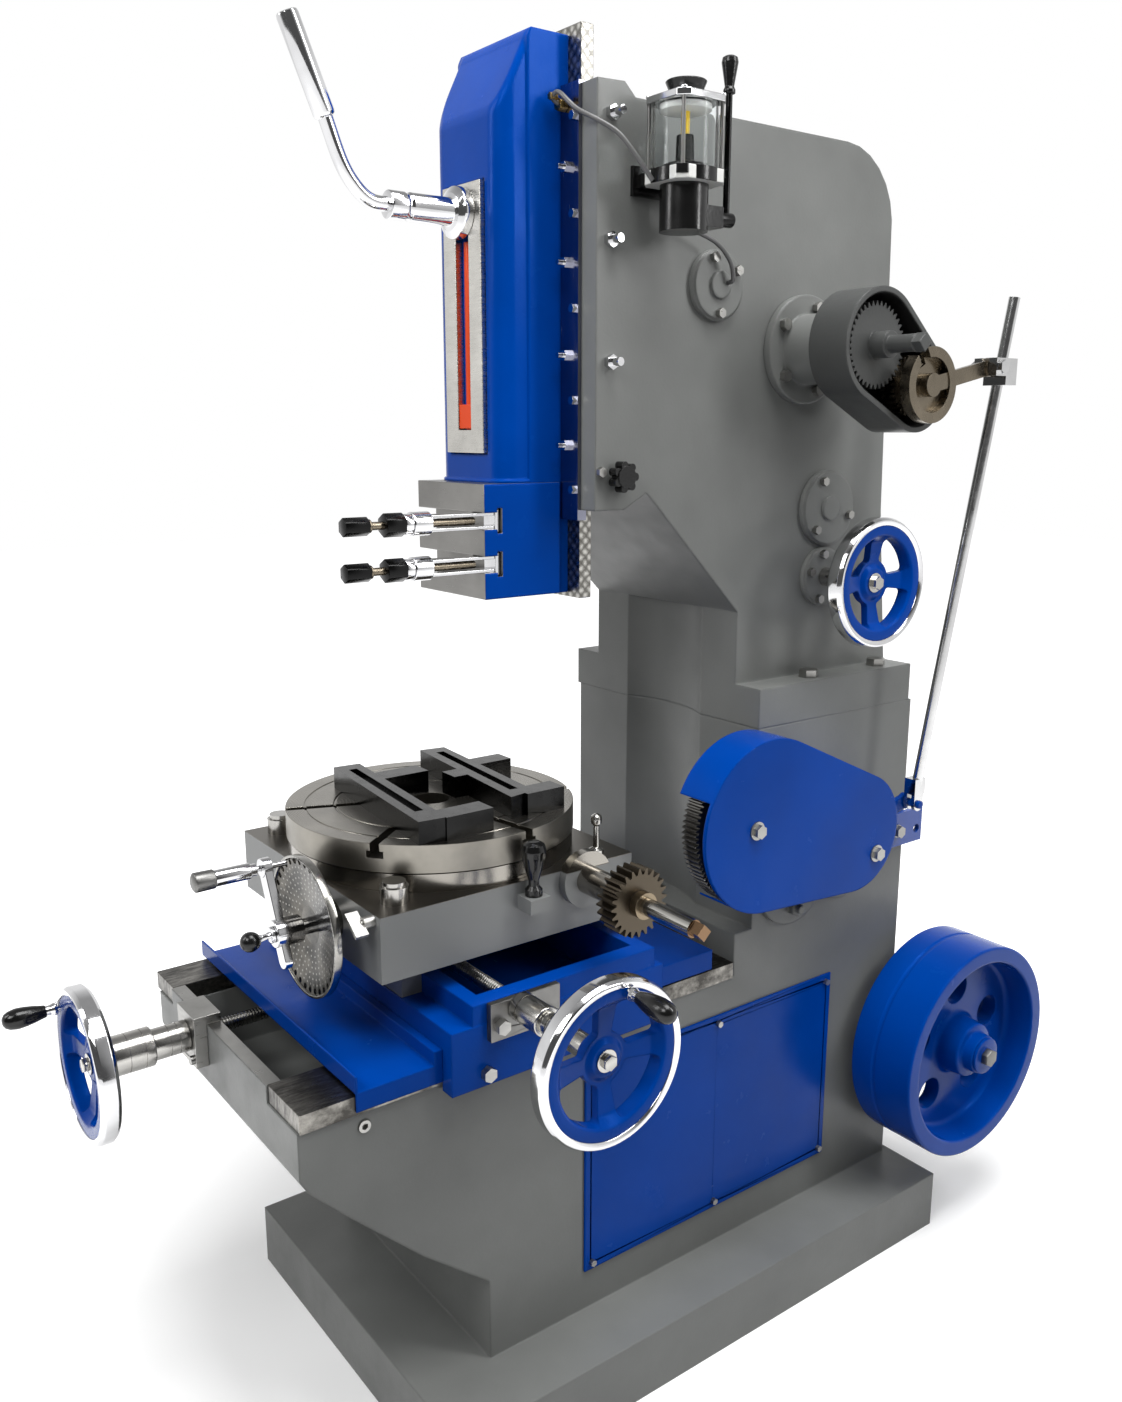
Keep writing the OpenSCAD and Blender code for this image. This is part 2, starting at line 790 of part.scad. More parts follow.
// Back plate with the two gear studs and the guard's straps
module gear_bracket() {
    color(grey) {
        difference() {
            intersection() {
                lobes(guard_c, guard_r - [10, 10], [body_x[1], body_x[1] + 7]);
                box([body_x[1], body_x[1] + 7], [60, 278], [835, 940]);
            }
            for (c = bracket_bolts)
                bolt_hole_x(body_x[1] + 7, c, 5, 8);
        }
        bar_x(big_stud_r, [body_x[1] + 6, guard_x], big_c);
        bar_x(small_stud_r, [190, guard_x], small_gear_c);
        difference() {
            box([288, guard_x], [straps[0][0] - 12, big_c[0] + 14], [873, 897]);
            bolt_hole_x(guard_x, straps[0], 6, 10);
        }
        difference() {
            prism_x(strip(small_gear_c, straps[1] + [10, -7.5], 12), [288, guard_x]);
            bolt_hole_x(guard_x, straps[1], 6, 10);
        }
        difference() {
            union() {
                box([body_x[1], 258], [440, 480], [768, 812]);
                box([248, 258], [406, 530], [762, 824]);
            }
            bolt_hole_x(258, foot_bolt, 6, 40);
            bar_x(8, [247, 259], [515, 786]);
        }
    }
}

// Large guarded gear
module big_gear() {
    color(steel)
    difference() {
        union() {
            gear_x_axis(big_teeth, gear_m, gear_dir, gear_x, big_c);
            bar_x(34, [gear_x[0] - 4, 286], big_c);
        }
        bar_x(big_stud_r + fit, [gear_x[0] - 5, 287], big_c);
        bar_x(112, [gear_x[1] - 8, gear_x[1] + 1], big_c);
    }
    color(steel)
    difference() {
        bar_x(36, [gear_x[1] - 9, 286], big_c);
        bar_x(big_stud_r + fit, [gear_x[1] - 10, 287], big_c);
    }
}

// Guarded pinion
module pinion() {
    color(steel)
    difference() {
        union() {
            gear_x_axis(small_teeth, gear_m, gear_dir + 180 + 180 / small_teeth, gear_x, small_gear_c);
            bar_x(24, [gear_x[0] - 4, 275], small_gear_c);
        }
        bar_x(small_stud_r + fit, [gear_x[0] - 5, 276], small_gear_c);
    }
}

// Sheet guard over the gear pair, open at the left of its rim
module guard() {
    left = [for (a = [155, 195, 235]) on_circle(guard_c[0], 175, a)];
    color(blue)
    difference() {
        lobes(guard_c, guard_r, [body_x[1], guard_x + 3]);
        lobes(guard_c, guard_r - [3, 3], [body_x[1] - 1, guard_x]);
        prism_x(concat([guard_c[0]], left), [body_x[1] - 1, guard_x - 4]);
        box([270, 292], [385, 410], [812, 926]);
        bar_x(87 + 0.5, [body_x[1] - 1, body_x[1] + drum_t + 0.5], drum_c);
        bar_x(78 + 0.5, [body_x[1] - 1, body_x[1] + under_t + 0.5], under_c);
        for (c = straps)
            bolt_hole_x(guard_x + 3, c, 6, 4);
    }
}

// Handwheel high on the column
module column_wheel() {
    color(blue)
    translate([column_rim, column_axis[0], column_axis[1]])
        rotate([0, 90, 0])
            handwheel(column_wheel_r);
}

module column_shaft() {
    color(steel) {
        bar_x(screw_r, [140, column_rim - 20], column_axis);
        bar_x(16, [side + 12.3, column_rim - 48], column_axis);
        bar_x(16, [column_rim - 19.7, column_rim - 17], column_axis);
        bar_x(11, [column_rim - 18, column_rim - 8], column_axis, 6);
        bar_x(screw_r - 4, [column_rim - 21, column_rim - 9], column_axis);
    }
}

// Flywheel with five round holes through its web
module flywheel() {
    color(blue)
    difference() {
        translate([fly_x, fly_c[0], fly_c[1]])
            rotate([0, 90, 0])
                rotate_extrude()
                    polygon([
                        [fly_shaft_r + fit, 10], [50, 10], [50, 45], [fly_r - 36, 45], [fly_r - 36, 3],
                        [fly_r - 33, 0], [fly_r - 4, 0], [fly_r, 4], [fly_r, fly_w - 4],
                        [fly_r - 4, fly_w], [fly_r - 33, fly_w], [fly_r - 36, fly_w - 3],
                        [fly_r - 36, 75], [50, 75], [50, fly_w + 12], [fly_shaft_r + fit, fly_w + 12]
                    ]);
        for (i = [0:4])
            bar_x(30, [fly_x + 40, fly_x + 80], on_circle(fly_c, 108, 90 + 72 * i));
    }
}

module fly_shaft() {
    color(steel) {
        bar_x(fly_shaft_r, [20, fly_x + fly_w + 12], fly_c);
        bar_x(34, [fly_x + fly_w + 12.3, fly_x + fly_w + 18], fly_c);
        bar_x(9, [fly_x + fly_w + 11, fly_x + fly_w + 19], fly_c);
        bar_x(17, [fly_x + fly_w + 17, fly_x + fly_w + 30], fly_c, 6);
    }
}

// Bearing bracket on the rear face
module fly_bracket() {
    color(grey)
    difference() {
        union() {
            box([70, 245], [rear_y, fly_c[0]], [fly_c[1] - 52, fly_c[1] + 52]);
            bar_x(52, [70, 245], fly_c);
            box([85, 115], [rear_y, rear_y + 20], [fly_c[1] - 70, fly_c[1] + 70]);
        }
        bar_x(fly_shaft_r + fit, [69, 246], fly_c);
        for (z = [325, 409])
            box([84, 116], [rear_y + 20, rear_y + 70], [z - 14, z + 14]);
        for (z = [325, 409])
            bar_y(6 + fit, [rear_y - 1, rear_y + 21], [100, z]);
    }
}

// Ram with its tool head and the cavity for the stroke screw
module ram_body() {
    corner = 28;
    half = 90;
    color(blue)
    difference() {
        union() {
            intersection() {
                translate([0, 0, head_top - 1])
                    linear_extrude(ram_top - head_top + 1)
                        union() {
                            translate([-half, ram_front + corner])
                                square([2 * half, guide_y - ram_front - corner]);
                            translate([-half + corner, ram_front])
                                square([2 * (half - corner), corner]);
                            for (s = [-1, 1])
                                translate([s * (half - corner), ram_front + corner])
                                    circle(r = corner);
                        }
                prism_x([
                    [ram_front - 1, head_z], [ram_front - 1, ram_top - 109], [ram_front, ram_top - 109],
                    [ram_front + 54, ram_top], [guide_y, ram_top], [guide_y, head_z]
                ], [-100, 100]);
            }
            box([-94, 94], [head_front, guide_y - 20], [head_z, head_top]);
            box([-half, half], [guide_y - 21, guide_y], [head_z, head_top]);
        }
        for (z = tee_z) {
            box([-95, 95], [head_front - 1, head_front + 23], [z - tslot_w / 2, z + tslot_w / 2]);
            box([-95, 95], [head_front + 22, head_front + 31], [z - tslot_w / 2 - 6, z + tslot_w / 2 + 6]);
        }
        box([-51, 51], [ram_front - 1, plate_y[1]], [plate_z[0] - 1, plate_z[1] + 1]);
        box([-30, 30], [ram_front, -215], [cavity_z[0], bridge_z[0]]);
        box([-30, 30], [ram_front, -215], [bridge_z[1], cavity_z[1]]);
        bar_z(5.5 + fit, [cavity_z[0] - 25, bridge_z[1] + 1], [0, stroke_y]);
    }
}

// Scraped slide plate behind the ram
module ram_slide() {
    color(steel)
    box([-slide_half, slide_half], slide_y, [head_z - 7, ram_top + 10]);
}

// Slotted face plate on the ram
module slot_plate() {
    color(steel)
    difference() {
        box([-50, 50], plate_y, plate_z);
        box([-17, 17], [plate_y[0] - 1, plate_y[1] + 1], slot_z);
    }
}

module stroke_screw() {
    color(red) {
        bar_z(stroke_r, [nut_z[0] - 1.5, bridge_z[0] - 0.3], [0, stroke_y]);
        bar_z(5.5, [cavity_z[0] - 24, bridge_z[1] - 1], [0, stroke_y]);
    }
}

// Nut on the stroke screw, guided by the slot
module stroke_nut() {
    color(steel)
    difference() {
        union() {
            box([-27, 27], [-268, -220], nut_z);
            box([-17 + 2 * fit, 17 - 2 * fit], [plate_y[0] + 2, -267], nut_z);
        }
        bar_z(stroke_r + fit, [nut_z[0] - 1, nut_z[1] + 1], [0, stroke_y]);
    }
}

// Ball-ended clamping lever for the ram's stroke position
module clamp_lever() {
    color(steel) {
        bar_y(24, [plate_y[1] + 0.3, plate_y[1] + 9], [0, lever_z]);
        bar_y(12, [plate_y[0] - 2, plate_y[1] + 1], [0, lever_z]);
        bar_y(36, [plate_y[0] - 20, plate_y[0] - 0.3], [0, lever_z]);
        bar_y(20, [-408, plate_y[0] - 19], [0, lever_z]);
        bent_rod([
            [0, -400, lever_z], [0, -440, lever_z], [0, -478, lever_z + 52], [0, -497, lever_z + 105]
        ], 10);
        rod([0, -495, lever_z + 100], [0, -544, lever_z + 217], 15);
    }
}

// T-headed shackles in the tool head's slots
module tool_shackles() {
    color(steel)
    for (z = tee_z)
        difference() {
            union() {
                box([clamp_x - 15, clamp_x + 15], [head_front + 22.3, head_front + 30], [z - 16, z + 16]);
                for (s = [-1, 1])
                    translate([0, 0, z + s * 9.5])
                        box([clamp_x - 13, clamp_x + 13], [-396, head_front + 23], [-2.3, 2.3]);
                bar_y(17, [-425, -395], [clamp_x, z], 6);
            }
            bar_y(6 + fit, [-426, -394], [clamp_x, z]);
        }
}

// Long set screws with their washers and nuts
module tool_screws() {
    color(black)
    for (z = tee_z) {
        bar_y(6, [-500, -318], [clamp_x, z]);
        bar_y(15, [-437, -425.3], [clamp_x, z]);
        bar_y(17, [-468, -436], [clamp_x, z], 6);
        bar_y(11, [-530, -490], [clamp_x, z], 6);
    }
}

// Front bearing of the bed screw
module y_bearing() {
    color(grey)
    difference() {
        union() {
            box([-158, -88], [nose_y - 20, nose_y], [560, bed_top + 14]);
            box([-158, -88], [nose_y - 1, wall_y], [bed_top - 0.8, bed_top + 14]);
        }
        bar_y(screw_r + fit, [nose_y - 21, nose_y + 1], y_axis);
        for (c = y_bolts)
            bar_y(4 + fit, [nose_y - 21, nose_y + 1], c);
    }
}

// Bed handwheel
module y_wheel() {
    color(blue)
    translate([y_axis[0], y_rim, y_axis[1]])
        rotate([90, 0, 0])
            handwheel(wheel_r, y_grip_at);
}

// Bed lead screw with its collars
module y_shaft() {
    color(steel) {
        bar_y(screw_r, [y_rim + 20, pad_y + 28], y_axis);
        bar_y(24, [y_rim + 108, nose_y - 20.3], y_axis);
        bar_y(30, [y_rim + 48.3, y_rim + 109], y_axis);
        bar_y(16, [y_rim + 17, y_rim + 19.7], y_axis);
        bar_y(11, [y_rim + 8, y_rim + 18], y_axis, 6);
        bar_y(screw_r - 4, [y_rim + 9, y_rim + 21], y_axis);
    }
}

module y_grip() {
    color(chrome)
    translate([y_axis[0] + y_grip_at[0], y_rim, y_axis[1] + y_grip_at[1]])
        rotate([90, 0, 0])
            grip(77);
}

// Saddle that runs along the bed and carries the cross ways
module saddle() {
    low = bed_top + fit;
    color(blue)
    difference() {
        union() {
            box(saddle_x, saddle_y, [low, cross_z]);
            box([saddle_x[0], saddle_x[1] - 1], frame_y, [cross_z - 1, frame_z]);
            box([way_r[1] + fit, saddle_x[1]], saddle_y, [590, cross_z]);
            box([saddle_x[0], way_l[0] - fit], saddle_y, [590, cross_z]);
            box([-158, -88], [-332, -290], [578, bed_top + 12]);
        }
        box(window_x, window_y, [bed_top + 12, frame_z + 1]);
        bar_x(screw_r + fit, [saddle_x[0] + 20, saddle_x[1] + 1], x_axis);
        bar_y(screw_r + fit, [-333, -289], y_axis);
        for (c = x_bolts)
            bolt_hole_x(saddle_x[1], c, 6, 16);
        bolt_hole_x(saddle_x[1], [-428, 610], 6, 18);
    }
}

// Chip trays before and behind the saddle
module trays() {
    front = saddle_y[0] - fit;
    rear = saddle_y[1] + fit;
    color(blue) {
        box([-325, 232], [-622, front], [bed_top + 4, bed_top + 6]);
        box([-325, 232], [-622, -619], [bed_top + 5, bed_top + 30]);
        box([-325, 232], [-500, front], [bed_top + 5, bed_top + 27]);
        box([230, 232], [-622, front], [bed_top - 23, bed_top + 5]);
        box([-325, 232], [rear, 31], [bed_top + 36, bed_top + 38]);
        box([-325, 232], [rear, rear + 3], [bed_top + 8, bed_top + 37]);
        box([-325, 232], [28, 31], [bed_top + 4, bed_top + 37]);
        box([229.8, 232], [rear, 31], [bed_top + 4, bed_top + 37]);
    }
}

// Bolts that hold the bearing plate and clamp the saddle
module saddle_bolts() {
    color(steel) {
        for (c = x_bolts)
            bolt_x(saddle_x[1] + 11, c, 6, 26);
        bolt_x(saddle_x[1], [-428, 610], 6, 17);
    }
}

// Bearing plate of the cross screw
module x_bearing() {
    color(grey)
    difference() {
        box([saddle_x[1], saddle_x[1] + 11], [-427, -307], [659, frame_z]);
        bar_x(screw_r + fit, [saddle_x[1] - 1, saddle_x[1] + 12], x_axis);
        for (c = x_bolts)
            bolt_hole_x(saddle_x[1] + 11, c, 6, 12);
    }
}

// Saddle handwheel
module x_wheel() {
    color(blue)
    translate([x_rim, x_axis[0], x_axis[1]])
        rotate([0, 90, 0])
            handwheel(wheel_r, [-x_grip_at[1], x_grip_at[0]]);
}

// Cross lead screw with its collars
module x_shaft() {
    color(steel) {
        bar_x(screw_r, [saddle_x[0] + 22, x_rim - 20], x_axis);
        bar_x(22, [saddle_x[1] + 11.3, 330], x_axis);
        bar_x(17, [329, x_rim - 48.3], x_axis);
        bar_x(16, [x_rim - 19.7, x_rim - 17], x_axis);
        bar_x(11, [x_rim - 18, x_rim - 8], x_axis, 6);
        bar_x(screw_r - 4, [x_rim - 21, x_rim - 9], x_axis);
    }
}

module x_grip() {
    color(chrome)
    translate([x_rim, x_axis[0] + x_grip_at[0], x_axis[1] + x_grip_at[1]])
        rotate([0, 90, 0])
            grip(82);
}

// Table housing with its cross slide, nut and bearing ring
module table_housing() {
    y_front = [saddle_y[0] + 2, frame_y[0] - fit];
    y_rear = [frame_y[1] + fit, saddle_y[1]];
    color(grey)
    difference() {
        union() {
            box(housing_x, housing_y, [housing_z, housing_top]);
            bar_z(table_r - 2, [housing_top - 1, ring_z], table_c);
            box([-215, 115], [y_front[0], y_rear[1]], [frame_z + 3, housing_z + 1]);
            box([-215, 115], y_front, [cross_z + fit, frame_z + 4]);
            box([-215, 115], y_rear, [cross_z + fit, frame_z + 4]);
            box([-60, -20], [x_axis[0] - 19, x_axis[0] + 19], [x_axis[1] - 16, frame_z + 4]);
            bar_x(44, [housing_x[1] - 1, housing_x[1] + 15], worm_c);
            box([housing_x[1] - 1, pear_c[0] + 18], [pear_c[1] - 18, pear_c[1] + 18], [housing_top - 41, housing_top - 19]);
        }
        bar_x(screw_r + fit, [-61, -19], x_axis);
        bar_z(40 + fit, [housing_top - 33, ring_z + 1], table_c);
        bar_x(worm_r + fit, [housing_x[1] - 60, housing_x[1] + 16], worm_c);
        bar_y(12 + fit, [housing_y[0] - 1, housing_y[0] + 56], index_c);
        bar_z(8 + fit, [housing_top - 42, housing_top - 18], pear_c);
        bar_z(6 + fit, [housing_top - 24, housing_top + 1], small_c);
        bar_y(5 + fit, [housing_y[0] - 1, housing_y[0] + 26], wing_c);
        for (c = pillars)
            bar_z(8 + fit, [housing_top - 26, housing_top + 1], c);
    }
}

// Stop pillars on the housing's front corners
module clamp_pillars() {
    color(steel)
    for (c = pillars) {
        bar_z(21, [housing_top, housing_top + 24], c);
        bar_z(17, [housing_top + 23, housing_top + 31], c);
        bar_z(8, [housing_top - 25, housing_top + 1], c);
    }
}

// Rotary table with six T-slots and its pivot
module rotary_table() {
    color(steel)
    difference() {
        union() {
            bar_z(table_r, [table_z, table_top], table_c);
            bar_z(120, [ring_z + fit, table_z + 1], table_c);
            bar_z(40, [housing_top - 30, table_z + 1], table_c);
        }
        bar_z(table_bore_r, [housing_top - 31, table_top + 1], table_c);
        for (i = [0:5])
            translate([table_c[0], table_c[1], table_top])
                rotate([0, 0, slot_turn + 60 * i]) {
                    box([66, table_r + 1], [-table_slot_w / 2, table_slot_w / 2], [-22, 1]);
                    box([66, table_r + 1], [-table_slot_w / 2 - 6, table_slot_w / 2 + 6], [-22, -12]);
                }
        for (r = [100, 150, 196])
            translate([table_c[0], table_c[1], table_top - 1.5])
                rotate_extrude()
                    translate([r, 0])
                        square([3, 3]);
    }
}

// Black clamping jaws on the table
module clamp_bars() {
    z = [table_top + fit, table_top + 35];
    color(black)
    difference() {
        union() {
            translate([-21, -425, 0])
                rotate([0, 0, -5.8])
                    box([-167, 167], [-22.5, 22.5], z);
            box([110, 150], [-422, -342], z);
            box([-120, -80], [-402, -316], z);
            translate([0, 0, z[0]])
                linear_extrude(z[1] - z[0])
                    polygon([[-200, -261], [122, -291], [113, -242], [-193, -217]]);
            box([-100, -62], [-240, -166], z);
            box([86, 124], [-262, -193], z);
            box([-60, -22], [-302, -254], z);
        }
        translate([-21, -425, 0])
            rotate([0, 0, -5.8])
                box([-140, 120], [-7, 7], [z[1] - 10, z[1] + 1]);
        translate([-40, -252, 0])
            rotate([0, 0, -5.3])
                box([-130, 130], [-7, 7], [z[1] - 10, z[1] + 1]);
    }
}

// Index plate with two circles of holes
module index_plate() {
    color(steel)
    difference() {
        union() {
            bar_y(104, [index_plate_y - 6, index_plate_y], index_c);
            bar_y(28, [index_plate_y - 1, housing_y[0]], index_c);
        }
        bar_y(12 + fit, [index_plate_y - 7, housing_y[0] + 1], index_c);
        for (i = [0:23])
            bar_y(2.5, [index_plate_y - 7, index_plate_y - 2], on_circle(index_c, 82, i * 15));
        for (i = [0:35])
            bar_y(4.3, [index_plate_y - 7, index_plate_y + 1], on_circle(index_c, norm(handle_at - index_c), 115 + i * 10));
    }
}

// Index crank with its shaft
module index_crank() {
    reach = handle_at - index_c;
    color(steel)
    difference() {
        union() {
            bar_y(12, [index_plate_y - 13, housing_y[0] + 53], index_c);
            bar_y(20, [crank_y[0] - 4, index_plate_y - 9], index_c);
            prism_y(strip(index_c - 0.42 * reach, handle_at, 11), crank_y);
            bar_y(14, [crank_y[0] - 1, crank_y[1] + 1], handle_at);
        }
        bar_y(4 + fit, [crank_y[0] - 2, crank_y[1] + 2], handle_at);
        bar_y(5 + fit, [crank_y[0] - 5, crank_y[1] + 8], index_c);
    }
}

// Index handle with its plunger pin, drawn clear of the plate
module index_handle() {
    color(chrome) {
        bar_y(4, [crank_y[0] - 9, index_plate_y - 7], handle_at);
        bar_y(9, [crank_y[0] - 18, crank_y[0] - 7.5], handle_at);
        bar_y(12, [crank_y[0] - 82, crank_y[0] - 17], handle_at);
        bar_y(14, [crank_y[0] - 94, crank_y[0] - 81], handle_at);
        bar_y(10, [crank_y[0] - 100, crank_y[0] - 93], handle_at);
    }
}

// Ball knob that locks the crank to its shaft
module index_knob() {
    hub = [index_c[0], crank_y[0] - 8, index_c[1]];
    color(black) {
        bar_y(5, [crank_y[0] - 10, crank_y[1] + 7], index_c);
        bar_y(12, [crank_y[0] - 14, crank_y[0] - 4.3], index_c);
        ball_lever(hub, knob_at, 5, 14);
    }
}

// Worm shaft with its change gear and squared end
module worm_shaft() {
    color(steel) {
        bar_x(worm_r, [housing_x[1] - 58, 440], worm_c);
        bar_x(worm_r - 0.5, [439, 460], worm_c, 4);
        bar_x(22, [housing_x[1] + 15.3, 291], worm_c);
        gear_x_axis(24, 4, 0, [290, 325], worm_c);
        bar_x(20, [324, 340], worm_c);
    }
}

// Pear-shaped table clamp handle
module pear_handle() {
    color(black)
    translate([pear_c[0], pear_c[1], housing_top - 19]) {
        translate([0, 0, -22])
            cylinder(r = 8, h = 30);
        rotate_extrude()
            polygon([
                [0, 0.3], [13, 0.3], [13, 10], [8, 16], [8, 24], [13, 40], [18, 60],
                [19, 70], [16, 79], [9, 83], [0, 84]
            ]);
    }
}

// Small table lock lever
module small_lever() {
    color(black) {
        bar_z(6, [housing_top - 23, housing_top + 2], small_c);
        translate([small_c[0], small_c[1], housing_top])
            rotate_extrude()
                polygon([
                    [0, 0.3], [12, 0.3], [12, 12], [5, 16], [4.5, 50], [8, 54], [9, 60],
                    [8, 66], [4, 69], [0, 70]
                ]);
    }
}

// Wing screw on the housing's front
module wing_screw() {
    color(steel) {
        bar_y(5, [housing_y[0] - 20, housing_y[0] + 24], wing_c);
        bar_y(9, [housing_y[0] - 17, housing_y[0] - 0.3], wing_c);
        translate([wing_c[0], 0, wing_c[1]])
            rotate([0, 35, 0])
                box([-20, 20], [housing_y[0] - 35, housing_y[0] - 16], [-3, 3]);
    }
}

base();
bed_ways();
side_panel();
column();
guide_strips();
set_screws();
frame_bolts();
round_covers();
star_knob();
pump_body();
pump_glass();
pump_caps();
pump_lever();
oil_pipes();
feed_flange();
feed_case();
feed_gear();
feed_lever();
link_rod();
lower_arm();
gear_bracket();
big_gear();
pinion();
guard();
column_wheel();
column_shaft();
flywheel();
fly_shaft();
fly_bracket();
ram_body();
ram_slide();
slot_plate();
stroke_screw();
stroke_nut();
clamp_lever();
tool_shackles();
tool_screws();
y_bearing();
y_wheel();
y_shaft();
y_grip();
saddle();
trays();
saddle_bolts();
x_bearing();
x_wheel();
x_shaft();
x_grip();
table_housing();
clamp_pillars();
rotary_table();
clamp_bars();
index_plate();
index_crank();
index_handle();
index_knob();
worm_shaft();
pear_handle();
small_lever();
wing_screw();
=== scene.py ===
import bpy
import bmesh
import math
from functools import partial
from mathutils import Matrix, Vector


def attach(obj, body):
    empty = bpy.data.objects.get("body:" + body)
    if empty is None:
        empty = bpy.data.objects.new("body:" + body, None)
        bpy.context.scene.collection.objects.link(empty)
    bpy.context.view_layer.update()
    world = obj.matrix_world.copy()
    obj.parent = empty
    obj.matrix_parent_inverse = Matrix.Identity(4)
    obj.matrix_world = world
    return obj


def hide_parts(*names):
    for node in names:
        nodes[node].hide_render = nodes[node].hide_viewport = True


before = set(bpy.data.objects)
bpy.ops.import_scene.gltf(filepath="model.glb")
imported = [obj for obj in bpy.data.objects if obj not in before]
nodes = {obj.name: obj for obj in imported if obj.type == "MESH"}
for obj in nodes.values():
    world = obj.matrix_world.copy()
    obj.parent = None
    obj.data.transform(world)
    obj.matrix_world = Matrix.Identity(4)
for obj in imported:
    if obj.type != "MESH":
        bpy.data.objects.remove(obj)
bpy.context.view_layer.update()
print("frame loaded")

# each axis with the two directions across it, in which outlines are drawn
axes = {"X": (Vector((1, 0, 0)), Vector((0, 1, 0)), Vector((0, 0, 1))),
        "Y": (Vector((0, 1, 0)), Vector((1, 0, 0)), Vector((0, 0, 1))),
        "Z": (Vector((0, 0, 1)), Vector((1, 0, 0)), Vector((0, 1, 0)))}
sharpAngle = math.radians(35)


def onCircle(centre, radius, angle):
    return centre[0] + radius * math.cos(angle), centre[1] + radius * math.sin(angle)


# a point's third value, where it has one, is the radius of that corner
def rounded(points, segments=4):
    result = []
    for i, (a, b, *more) in enumerate(points):
        radius = more[0] if more else 0
        if not radius:
            result.append((a, b))
            continue
        here = Vector((a, b))
        before = (Vector(points[i - 1][:2]) - here).normalized()
        after = (Vector(points[(i + 1) % len(points)][:2]) - here).normalized()
        half = before.angle(after) / 2
        centre = here + (before + after).normalized() * radius / math.sin(half)
        start = here + before * radius / math.tan(half) - centre
        end = here + after * radius / math.tan(half) - centre
        first = math.atan2(start.y, start.x)
        sweep = (math.atan2(end.y, end.x) - first + math.pi) % math.tau - math.pi
        for k in range(segments + 1):
            result.append(onCircle(centre, radius, first + sweep * k / segments))
    return result


# the point of an axis through the centre from which places along it are measured
def axisFoot(centre, axis):
    along = axes[axis][0]
    return Vector(centre) - along * along.dot(Vector(centre))


# a profile is a list of (radius, place along the axis, corner)
def lathe(bm, profile, centre, axis, steps=64, closed=False, slot=0):
    along, across, _ = axes[axis]
    base = axisFoot(centre, axis)
    verts = [bm.verts.new(base + along * t + across * r) for r, t in rounded(profile)]
    pairs = list(zip(verts, verts[1:]))
    if closed:
        pairs.append((verts[-1], verts[0]))
    edges = [bm.edges.new(pair) for pair in pairs]
    before = set(bm.faces)
    bmesh.ops.spin(bm, geom=verts + edges, cent=base, axis=along, angle=math.tau, steps=steps, use_merge=True)
    made = [face for face in bm.faces if face not in before]
    for face in made:
        face.material_index = slot
    return made


def rod(bm, centre, axis, radius, low, high, ease=0.0, steps=32, slot=0):
    profile = [(0, low), (radius, low, ease), (radius, high, ease), (0, high)]
    lathe(bm, profile, centre, axis, steps, slot=slot)


def sleeve(bm, centre, axis, bore, radius, low, high, ease=0.0, steps=48):
    profile = [(bore, low), (radius, low, ease), (radius, high, ease), (bore, high)]
    lathe(bm, profile, centre, axis, steps, closed=True)


# depths in a profile are measured back from a face, against the way it looks
def behindFace(profile, face, out):
    return [(radius, face - out * depth, *corner) for radius, depth, *corner in profile]


def extruded(bm, points, axis, low, high, segments=6):
    along, across, up = axes[axis]
    verts = [bm.verts.new(along * low + across * a + up * b) for a, b in rounded(points, segments)]
    before = set(bm.faces)
    face = bm.faces.new(verts)
    grown = bmesh.ops.extrude_face_region(bm, geom=[face], use_keep_orig=True)["geom"]
    top = [item for item in grown if isinstance(item, bmesh.types.BMVert)]
    bmesh.ops.translate(bm, vec=along * (high - low), verts=top)
    return [item for item in bm.faces if item not in before]


def slab(bm, axis, across, up, along, ease=0.0):
    (a0, a1), (b0, b1) = across, up
    extruded(bm, [(a0, b0, ease), (a1, b0, ease), (a1, b1, ease), (a0, b1, ease)], axis, *along)


def hexagon(bm, centre, axis, radius, low, high, slot=0):
    along = axes[axis][0]
    middle = axisFoot(centre, axis) + along * (low + high) / 2
    made = bmesh.ops.create_cone(bm, cap_ends=True, segments=6, radius1=radius, radius2=radius,
                                 depth=high - low)["verts"]
    stand = along.to_track_quat("Z", "Y").to_matrix().to_4x4()
    bmesh.ops.transform(bm, matrix=Matrix.Translation(middle) @ stand, verts=made)
    edges = {edge for vert in made for edge in vert.link_edges}
    for face in {face for vert in made for face in vert.link_faces}:
        face.material_index = slot
    bmesh.ops.bevel(bm, geom=list(edges), offset=radius * 0.08, segments=2, profile=0.5, affect="EDGES",
                    material=-1)


def smoothPath(points, steps):
    path = [Vector(p) for p in points]
    ends = [path[0] * 2 - path[1]] + path + [path[-1] * 2 - path[-2]]
    result = []
    for a, b, c, d in zip(ends, ends[1:], ends[2:], ends[3:]):
        for k in range(steps):
            t = k / steps
            square, cube = 2 * a - 5 * b + 4 * c - d, 3 * b - a - 3 * c + d
            result.append(0.5 * (2 * b + (c - a) * t + square * t * t + cube * t ** 3))
    return result + [path[-1]]


